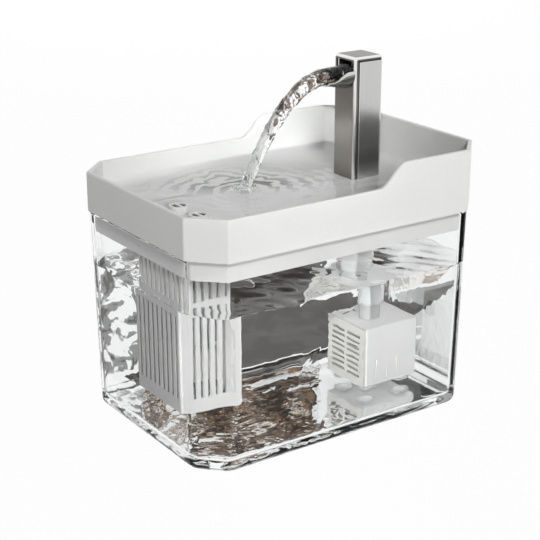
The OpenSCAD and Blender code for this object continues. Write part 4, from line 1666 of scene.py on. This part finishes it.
    def cut_pocket(self, piece: Piece) -> None:
        """Cuts the hole that the basket hangs in and the step under its flange.

        Args:
            piece: The tray.
        """
        low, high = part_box("filter_basket")
        base, basin, play = self.base(), self.basin(), self.pocket_play
        for grow, foot, top in (
            (play - self.pocket_step, base - self.over, basin + 2 * self.over),
            (play, basin - self.pocket_sink, basin + self.curve_up),
        ):
            corners = rectangle((low.x - grow, high.x + grow), (low.y - grow, high.y + grow))
            plan = rounded_plan(corners, self.pocket_round, 8)
            combine(piece, prism("pocket", plan, foot, top), Combine.CUT)

    def cut_notch(self, piece: Piece) -> None:
        """Cuts the notch for the pump's lead in the rear end.

        Args:
            piece: The tray.
        """
        inner = Tank().high.x - self.skirt_inset - self.skirt_wall - self.skirt_play
        half, foot = self.notch_width / 2, self.skirt_foot() - self.over
        across = (self.notch_side - half, self.notch_side + half)
        corners = rectangle((inner, self.high.x + 5 * self.over), across)
        notch = prism("notch", corners, foot, self.base() + self.notch_rise)
        combine(piece, notch, Combine.CUT)

    def water(self) -> Piece:
        """Fills the basin, with rings round the place where the stream lands.

        Returns:
            The water.
        """
        plan, run = self.plan(), self.long_run()
        level = self.base() + self.low_rim - self.water_room
        rows = [*reversed(self.levels(self.soak)), (self.wall - self.soak, level)]
        rings = [plan.ring(inset, self.edge, z, run) for inset, z in rows]
        space = loft("basin_water", rings)
        waves = Waves(
            self.water_level, self.wave, self.wave_lengths,
            self.splash, self.ring_size, self.ring_length, self.ring_reach,
        )
        waves.fill(space, self.surface, self.base(), self.surface_step)
        drains = Drains()
        for centre in drains.centres():
            bore = prism("bore", circle(drains.bore, 48, centre), self.base(), self.high.z)
            combine(space, bore, Combine.CUT)
        smooth(space, 40.0)
        return space

    def drops(self) -> Piece:
        """Drops thrown up round the place where the stream lands.

        Returns:
            The drops, as one piece.
        """
        build = bmesh.new()
        for i in range(self.drop_count):
            turn = self.drop_turn * i
            out, rise, grow = ((i * share) % 1.0 for share in self.drop_scatter)
            far = (self.drop_far_mm[0] + self.drop_far_mm[1] * out) * MM
            lift = self.drop_up_mm[1] * rise * (1 - far / self.drop_reach)
            up = (self.drop_up_mm[0] + lift) * MM
            radius = (self.drop_radius_mm[0] + self.drop_radius_mm[1] * grow) * MM
            start = len(build.verts)
            bmesh.ops.create_icosphere(build, subdivisions=2, radius=radius)
            build.verts.ensure_lookup_table()
            x, y = self.splash[0] + far * math.cos(turn), far * math.sin(turn)
            for vert in build.verts[start:]:
                vert.co.z *= self.drop_stretch
                vert.co += Vector((x, y, self.water_level + up))
        piece = built("basin_drops", build)
        piece.data.shade_smooth()
        return piece

    def build(self, made: dict[str, Material]) -> None:
        """Builds and dresses the tray.

        Args:
            made: The finishes by slot.
        """
        place(self.shell(), "tray", made["white_tray"], ["tray"])
        place(self.water(), "tray", made["basin_water"])
        place(self.drops(), "tray", made["basin_water"])


@dataclass
class Faucet:
    """Square steel tower with its spout and the stream of water."""

    # Spout, from its root in the tower to its lip
    reach: float = 15.4 * MM
    sheet: float = 1.0 * MM
    root_sheet: float = 2.3 * MM
    root_width: float = 21.6 * MM
    lip_width: float = 13.0 * MM
    root_rim: float = 8.4 * MM
    root_bed: float = 19.5 * MM
    lip_rim: float = 14.3 * MM
    lip_bed: float = 17.0 * MM
    # Folded strip
    strip_sheet: float = 0.55 * MM
    strip_play: float = 0.2 * MM
    back_play: float = 0.1 * MM
    back_hem: float = 1.2 * MM
    fold: float = 2.1 * MM
    hem: float = 0.9 * MM
    bend: float = 2.4 * MM
    bend_share: float = 0.93
    groove: float = 0.55 * MM
    # Sleeve
    sleeve_sheet: float = 0.6 * MM
    sleeve_rear_round: float = 2.5 * MM
    sleeve_lead: float = 0.35 * MM
    sleeve_gap: float = 0.2 * MM
    sleeve_set: float = 0.1 * MM
    # Mouth in the strip
    mouth_half: float = 7.0 * MM
    mouth_low: float = 12.1 * MM
    mouth_high: float = 2.6 * MM
    mouth_round: float = 0.8 * MM
    mouth_depths: PlanPoint = (-1.0 * MM, 3.0 * MM)
    # Path of the stream
    exit_speed: float = 0.522
    exit_drop: float = 11.2 * MM
    exit_share: float = 0.92
    bed_rise: float = 3.0 * MM
    bed_length: float = 24.0 * MM
    bed_start: float = 8.0 * MM
    bed_end: float = 0.6 * MM
    gravity: float = 9.81
    landing: float = 139.5 * MM
    # Section of the stream
    stream_width: float = 13.4 * MM
    stream_sides: int = 56
    narrowing: float = 0.8
    flatness: Range = (0.72, 0.85)
    round_after: float = 70.0 * MM
    split: float = 0.26
    closing: float = 0.75
    closed_after: float = 100.0 * MM
    twist_start: float = 0.5
    twist_rate: float = 9.0
    strand_power: float = 1.5
    calm_length: float = 40.0 * MM
    ripples: tuple[tuple[float, float, float, float], ...] = (
        (0.045, 3, 420, 0.0), (0.035, 5, -700, 1.2), (0.02, 8, 1500, 0.0)
    )
    # Boxes of the solids
    low: Vector = corner_of("faucet_front_plate", 0)
    high: Vector = corner_of("faucet_front_plate", 1)
    shell_low: Vector = corner_of("faucet_sleeve", 0)
    shell_high: Vector = corner_of("faucet_sleeve", 1)

    def strip_path(self) -> list[tuple[float, float, float, float, float]]:
        """Path of the folded strip in side view: up the front, over the top and down the back.

        Returns:
            For each station its place along X, its height, its outward direction in X and Z, and
            how far the strip's section may reach inward there.
        """
        front, back = self.low.x, self.shell_high.x - self.back_play
        bend, top, most, straight = self.bend, self.high.z, self.bend * self.bend_share, 1.0
        heights = spread(self.low.z, top - bend, 12)
        path = [(front, z, -1.0, 0.0, straight) for z in heights]
        path += [
            (front + bend * (1 - c), top - bend * (1 - s), -c, s, most)
            for c, s in arc(0, 90, 10)[1:]
        ]
        path += [
            (back - bend * (1 - c), top - bend * (1 - s), c, s, most) for c, s in arc(90, 0, 10)
        ]
        return path + [(back, top - bend - self.back_hem, 1.0, 0.0, straight)]

    def strip(self) -> Piece:
        """Skins the folded strip that makes the tower's front and top, and cuts the mouth in it.

        Returns:
            The strip.
        """
        half, fold = -self.shell_low.y - self.strip_play, self.fold
        profile: list[PlanPoint] = []
        for inside in (0.0, self.strip_sheet):
            radius = fold - inside
            side = [(half - inside, fold + self.hem)]
            side += [(half - fold + radius * c, fold - radius * s) for c, s in arc(0, 90, 9)]
            row = side + [(-y, d) for y, d in reversed(side)]
            profile += row[::-1] if inside else row
        rings = [
            [(x - nx * min(d, most), y, z - nz * min(d, most)) for y, d in profile]
            for x, z, nx, nz, most in self.strip_path()
        ]
        piece = loft("tower_strip", rings)
        heights = (self.high.z - self.mouth_low, self.high.z - self.mouth_high)
        corners = rectangle((-self.mouth_half, self.mouth_half), heights)
        mouth = rounded_plan(corners, self.mouth_round, 4)
        depths = [self.low.x + depth for depth in self.mouth_depths]
        cutter = loft("mouth", [[(x, y, z) for y, z in mouth] for x in depths])
        combine(piece, cutter, Combine.CUT)
        smooth(piece, 35.0)
        return piece

    def sleeve(self) -> Piece:
        """Skins the sleeve behind the strip: sides with rolled front edges, and a back.

        Returns:
            The sleeve.
        """
        front = self.low.x + self.fold + self.hem + self.groove
        half, back = -self.shell_low.y, self.shell_high.x
        sheet, rear = self.sleeve_sheet, self.sleeve_rear_round

        def rear_corner(inset: float) -> list[PlanPoint]:
            """Points of one round rear corner."""
            reach = rear - inset
            return [(back - rear + reach * c, half - rear + reach * s) for c, s in arc(90, 0, 9)]

        outside = [(front + sheet * (1 - c), half - sheet * (1 - s)) for c, s in arc(0, 90, 6)]
        outside += rear_corner(0.0)
        inside = [(front + self.sleeve_set, half - sheet)] + rear_corner(sheet)
        plan = outside + [(x, -y) for x, y in reversed(outside)]
        plan += [(x, -y) for x, y in inside] + inside[::-1]
        top = self.high.z - self.fold - self.hem - self.sleeve_gap
        lead = self.sleeve_lead
        centre = (front + back) / 2
        rings = []
        for z, share in ((self.shell_low.z, 0.0), (top - lead, 0.0), (top, lead / 2)):
            rings.append([
                (x - math.copysign(share, x - centre), y - math.copysign(share, y), z)
                for x, y in plan
            ])
        piece = loft("tower_sleeve", rings)
        smooth(piece, 35.0)
        return piece

    def spout_ring(self, t: float) -> Ring:
        """Section of the spout, with its two rims rolled round.

        Args:
            t: Share of the spout's reach.

        Returns:
            The section's points.
        """
        half = mix(self.root_width, self.lip_width, ease(t)) / 2
        rim = self.high.z - mix(self.root_rim, self.lip_rim, ease(ease(t)))
        sheet = mix(self.root_sheet, self.sheet, ease(t))
        bed = self.high.z - mix(self.root_bed, self.lip_bed, ease(t))
        x, mid = self.low.x - self.reach * t, sheet / 2
        ring = [
            (x, -(half - inside) * c, rim - (rim - bed - inside) * s)
            for inside, turns in ((0.0, (0, 180)), (sheet, (180, 0)))
            for c, s in arc(*turns, 41)
        ]
        far_rim = [(x, half - mid + mid * c, rim + mid / 2 * s) for c, s in arc(36, 144, 4)]
        return ring[:41] + far_rim + ring[41:] + [(x, -y, z) for _, y, z in reversed(far_rim)]

    def spout(self) -> Piece:
        """Skins the spout.

        Returns:
            The spout.
        """
        piece = loft("faucet_spout", [self.spout_ring(t) for t in spread(0.0, 1.0, 33)])
        smooth(piece, 50.0)
        return piece

    def stream_path(self) -> list[tuple[float, float, float]]:
        """Path of the stream: down the spout's bed, then a free fall.

        Returns:
            For each station its place along X, its height and the water's speed.
        """
        start, speed = self.low.x - self.exit_share * self.reach, self.exit_speed
        edge = self.high.z - self.exit_drop
        path = [
            (x, edge + self.bed_rise * ease((x - start) / self.bed_length), speed)
            for x in spread(self.low.x + self.bed_start, start + self.bed_end, 22)
        ]
        for t in spread(0.0, math.sqrt(2 * (edge - self.landing) / self.gravity), 110):
            fall = 0.5 * self.gravity * t * t
            path.append((start - speed * t, edge - fall, math.hypot(speed, self.gravity * t)))
        return path

    def stream(self) -> Piece:
        """Skins the stream: two strands that twist and close up as the water falls.

        Returns:
            The stream.
        """
        path = self.stream_path()
        rings: list[Ring] = []
        gone = 0.0
        for i, (x, z, speed) in enumerate(path):
            before, after = path[max(i - 1, 0)], path[min(i + 1, len(path) - 1)]
            along = Vector((after[0] - before[0], 0.0, after[1] - before[1])).normalized()
            up = Vector((along.z, 0.0, -along.x))
            gone += math.hypot(x - before[0], z - before[1])
            half = self.stream_width / 2 * (self.exit_speed / speed) ** self.narrowing
            thick = half * mix(*self.flatness, min(gone / self.round_after, 1.0))
            split = self.split * (1 - self.closing * ease(gone / self.closed_after))
            twist = self.twist_start + self.twist_rate * gone
            rough = min(1.0, gone / self.calm_length)
            ring: Ring = []
            for j in range(self.stream_sides):
                a = 2 * math.pi * j / self.stream_sides
                grow = 1 - split + 2 * split * abs(math.cos(a + twist)) ** self.strand_power
                grow += rough * sum(
                    size * math.sin(sides * a + run * gone + phase)
                    for size, sides, run, phase in self.ripples
                )
                point = Vector((x, 0.0, z)) + Vector((0, half * grow * math.cos(a), 0))
                ring.append(tuple(point + up * (thick * grow * math.sin(a))))
            rings.append(ring)
        piece = loft("water_stream", rings)
        smooth(piece, 60.0)
        return piece

    def build(self, made: dict[str, Material]) -> None:
        """Builds and dresses the tower, the spout and the stream.

        Args:
            made: The finishes by slot.
        """
        place(self.strip(), "faucet", made["dark_steel"], ["faucet_front_plate"])
        place(self.sleeve(), "faucet", made["satin_steel"], ["faucet_sleeve"])
        place(self.spout(), "faucet", made["bright_steel"], ["spout"])
        place(self.stream(), "faucet", made["running_water"])


@dataclass
class FilterMedia:
    """Soft pads and pouches in the basket."""

    # Room round a piece, and how far its cloth may move
    gap: float = 0.15 * MM
    slack: float = 0.7 * MM
    most: float = 1.3 * MM
    # Cloth that is blown up
    pressure: float = 4.0
    weight: float = 0.0003
    stiffness: float = 0.05
    quality: int = 6
    steps: int = 20
    # Mesh of a piece and its puckers
    cuts: int = 15
    pucker: float = 0.12 * MM
    pucker_turns: Point = (70.0, 55.0, 3.0)
    face_from: float = 0.999

    def swell(self, piece: Piece, low: Vector, high: Vector) -> None:
        """Blows a soft piece up as cloth under pressure and keeps the result.

        Args:
            piece: The piece.
            low: Lower corner of its solid's box, inside which it stays.
            high: Upper corner of the box.
        """
        start = [vert.co.copy() for vert in piece.data.vertices]
        cloth = piece.modifiers.new("cloth", "CLOTH")
        cloth.point_cache.frame_start, cloth.point_cache.frame_end = 1, self.steps
        cover = cloth.settings
        cover.mass, cover.quality = self.weight, self.quality
        cover.use_pressure, cover.uniform_pressure_force = True, self.pressure
        cover.bending_stiffness = self.stiffness
        cover.effector_weights.gravity = 0.0
        for step in range(1, self.steps + 1):
            bpy.context.scene.frame_set(step)
        keep_result(piece)
        bpy.context.scene.frame_set(1)
        for vert, home in zip(piece.data.vertices, start):
            move = vert.co - home
            at = home + move * min(1.0, self.most / max(move.length, TINY))
            vert.co = [min(max(at[k], low[k] + self.gap), high[k] - self.gap) for k in range(3)]

    def pillow(self, name: str, node: str, crown: float, corner: float) -> Piece:
        """A crowned soft block whose sides pull in between its corners.

        Args:
            name: Name of the piece.
            node: The solid it stands for.
            crown: How far each face swells at its middle.
            corner: Rounding of its edges.

        Returns:
            The piece.
        """
        low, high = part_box(node)
        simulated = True
        inset = self.gap + (self.slack if simulated else 0.0)
        centre, half = (low + high) / 2, (high - low) / 2 - Vector((inset,) * 3)
        core = [max(abs(h) - corner, 0.0) for h in half]
        build = bmesh.new()
        bmesh.ops.create_cube(build, size=2.0)
        bmesh.ops.subdivide_edges(build, edges=build.edges, cuts=self.cuts, use_grid_fill=True)
        for vert in build.verts:
            unit = vert.co.copy()
            at = unit * half
            inner = Vector([max(-core[k], min(core[k], at[k])) for k in range(3)])
            over = at - inner
            if over.length > TINY:
                at = inner + over.normalized() * min(over.length, corner)
            for k in range(3):
                first, second = (unit[m] for m in range(3) if m != k)
                if abs(unit[k]) > self.face_from:
                    dip = crown * (1 - (1 - first**2) * (1 - second**2))
                    at[k] -= math.copysign(dip, unit[k])
            x, y, z = (unit[k] * self.pucker_turns[k] for k in range(3))
            at -= at.normalized() * abs(self.pucker * math.sin(x + z) * math.sin(y))
            vert.co = at + centre
        piece = built(name, build)
        if simulated:
            self.swell(piece, low, high)
        piece.modifiers.new("soft", "SUBSURF").levels = 1
        keep_result(piece)
        piece.data.shade_smooth()
        return piece

    def build(self, made: dict[str, Material]) -> None:
        """Builds and dresses the four soft pieces, from the foot up.

        Args:
            made: The finishes by slot.
        """
        for name, node, slot, crown, corner, fill in (
            ("foam_block", "foam_pad", "grey_foam", 0.3, 1.2, 0.9),
            ("resin_bag", "resin_pouch", "white_fleece", 1.0, 2.6, 0.7),
            ("carbon_bag", "carbon_pouch", "grey_fleece", 1.0, 2.6, 0.7),
            ("cotton_block", "cotton_pad", "white_fleece", 0.6, 1.6, 0.5),
        ):
            pillow = self.pillow(name, node, crown * MM, corner * MM)
            piece = place(pillow, "basket", made[slot], [node])


def finishes() -> dict[str, Material]:
    """Builds every finish, named by the record's slots.

    Returns:
        The finishes by slot.
    """
    effects = Effects()
    low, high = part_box("faucet_sleeve")
    up = {"foot": low.z, "top": high.z}
    # Tone tables up the sleeve and the strip: painted reflections of the darker and lighter things
    # round the tower
    satin = (
        (0.0, 1.65), (0.14, 1.6), (0.19, 0.66), (0.3, 0.98), (0.48, 1.18), (0.62, 1.12), (1.0, 1.05)
    )
    dark = (
        (0.0, 0.4), (0.15, 0.8), (0.34, 1.35), (0.55, 0.7), (0.75, 0.4), (0.92, 0.34), (1.0, 0.29)
    )
    pale_shadow = (0.985, 0.985, 0.985)
    water = {"bending": 1.333, "twist": 2.0}
    made = [
        MouldedPlastic("white_tray", (0.88, 0.88, 0.87), 0.28, coat=0.2, shade=0.02),
        # Lighter copy of the tray's white: painted light for the basket inside the tank
        MouldedPlastic("white_basket", (0.91, 0.91, 0.9), 0.35, shade=0.03),
        # Darker copy of the tray's white: painted shade round the standpipe bores
        MouldedPlastic("white_lid", (0.84, 0.84, 0.83), 0.32, shade=0.04),
        # Lighter copy of the tray's white: painted light for the pump inside the tank
        MouldedPlastic("white_pump", (0.96, 0.96, 0.95), 0.4, shade=0.02),
        MouldedPlastic("ivory_cover", (0.8, 0.79, 0.76), 0.42, shade=0.04),
        MouldedPlastic("black_core", (0.012, 0.012, 0.012), 0.3, shade=0.3),
        MouldedPlastic("black_rubber", (0.02, 0.02, 0.02), 0.65, shade=0.3),
        MouldedPlastic("dark_plastic", (0.04, 0.04, 0.045), 0.45, shade=0.2),
        MouldedPlastic("grey_plastic", (0.45, 0.45, 0.45), 0.4, shade=0.12),
        MouldedPlastic("white_ceramic", (0.82, 0.82, 0.8), 0.15, coat=0.4, shade=0.03),
        MouldedPlastic("board_green", (0.02, 0.12, 0.05), 0.35, coat=0.3, shade=0.4, grain=900.0),
        MouldedPlastic("black_resin", (0.02, 0.02, 0.022), 0.5, shade=0.3),
        MouldedPlastic("ferrite", (0.06, 0.06, 0.065), 0.55, shade=0.35),
        BrushedMetal(
            "satin_steel", (0.6, 0.6, 0.59), 0.2, shade=0.05, bend_highlight_share=0.5, tones=satin, **up
        ),
        # The strip's steel is a darker copy of the sleeve's: painted dark reflection
        BrushedMetal(
            "dark_steel", (0.35, 0.33, 0.305), 0.22, shade=0.05, bend_highlight_share=1.0, tones=dark, **up
        ),
        BrushedMetal("bright_steel", (0.66, 0.66, 0.65), 0.12, shade=0.04),
        BrushedMetal("lamination_steel", (0.35, 0.35, 0.37), 0.45, 2400.0, 1.0, shade=0.4),
        BrushedMetal("copper_wire", (0.72, 0.36, 0.16), 0.3, 2200.0, 1.0, shade=0.5),
        ClearTub(
            "clear_tank", (0.985, 0.99, 0.99), 1.235, swirls=42.0, strength=0.55, depth=0.8 * MM,
            shadow=pale_shadow,
        ),
        Clear("clear_pads", (0.95, 0.97, 0.97), 1.42, 0.1, strength=0.2),
        Clear("clear_silicone", (0.95, 0.96, 0.96), 1.3, 0.2, transmission=0.8, strength=0.2),
        Clear(
            "tank_water", (0.99, 0.995, 0.995), 1.17, swirls=60.0, twist=1.4, strength=0.1,
            shadow=pale_shadow,
        ),
        RingedWater(
            "basin_water", (0.97, 0.975, 0.975), 1.333, swirls=60.0, twist=1.4, strength=0.1,
            centre=(*Tray.splash, 0.0),
        ),
        # Near-black water: painted shade down the standpipes' bores
        RunningWater(
            "drain_water", (0.05, 0.045, 0.042), swirls=420.0, strength=0.8, busy=0.1, **water
        ),
        RunningWater(
            "running_water", (0.985, 0.99, 0.99), swirls=140.0, strength=0.28,
            calm=0.15, busy=0.188, **water,
        ),
        Fibrous("grey_foam", (0.5, 0.52, 0.53), fibres=700.0, painted_hollow_shade=0.35, tufts=0.8),
        Fibrous("white_fleece", (0.82, 0.82, 0.8), fibres=1700.0, painted_hollow_shade=0.7),
        Fibrous("grey_fleece", (0.4, 0.4, 0.41), fibres=1700.0, painted_hollow_shade=0.6),
    ]
    return {finish.name: finish.build(effects) for finish in made}


def dress_solids(made: dict[str, Material]) -> None:
    """Gives each solid that stays in sight the finish of its slot.

    Args:
        made: The finishes by slot.
    """
    for name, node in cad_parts.items():
        for holder in node.material_slots:
            slot = holder.material.name.split(".")[0] if holder.material else ""
            if slot in made and holder.material is not made[slot]:
                holder.material = made[slot]
        LOG.info("%s: solid dressed", name)


def main() -> None:
    """Builds the studio, the finishes and the sub-assemblies in order."""
    logging.basicConfig(level=logging.INFO, format="%(message)s")
    Studio().build()
    made = finishes()
    dress_solids(made)
    for assembly in (Tank(), Tray(), Drains(), Faucet(), FilterMedia()):
        assembly.build(made)


if __name__ == "__main__":
    main()
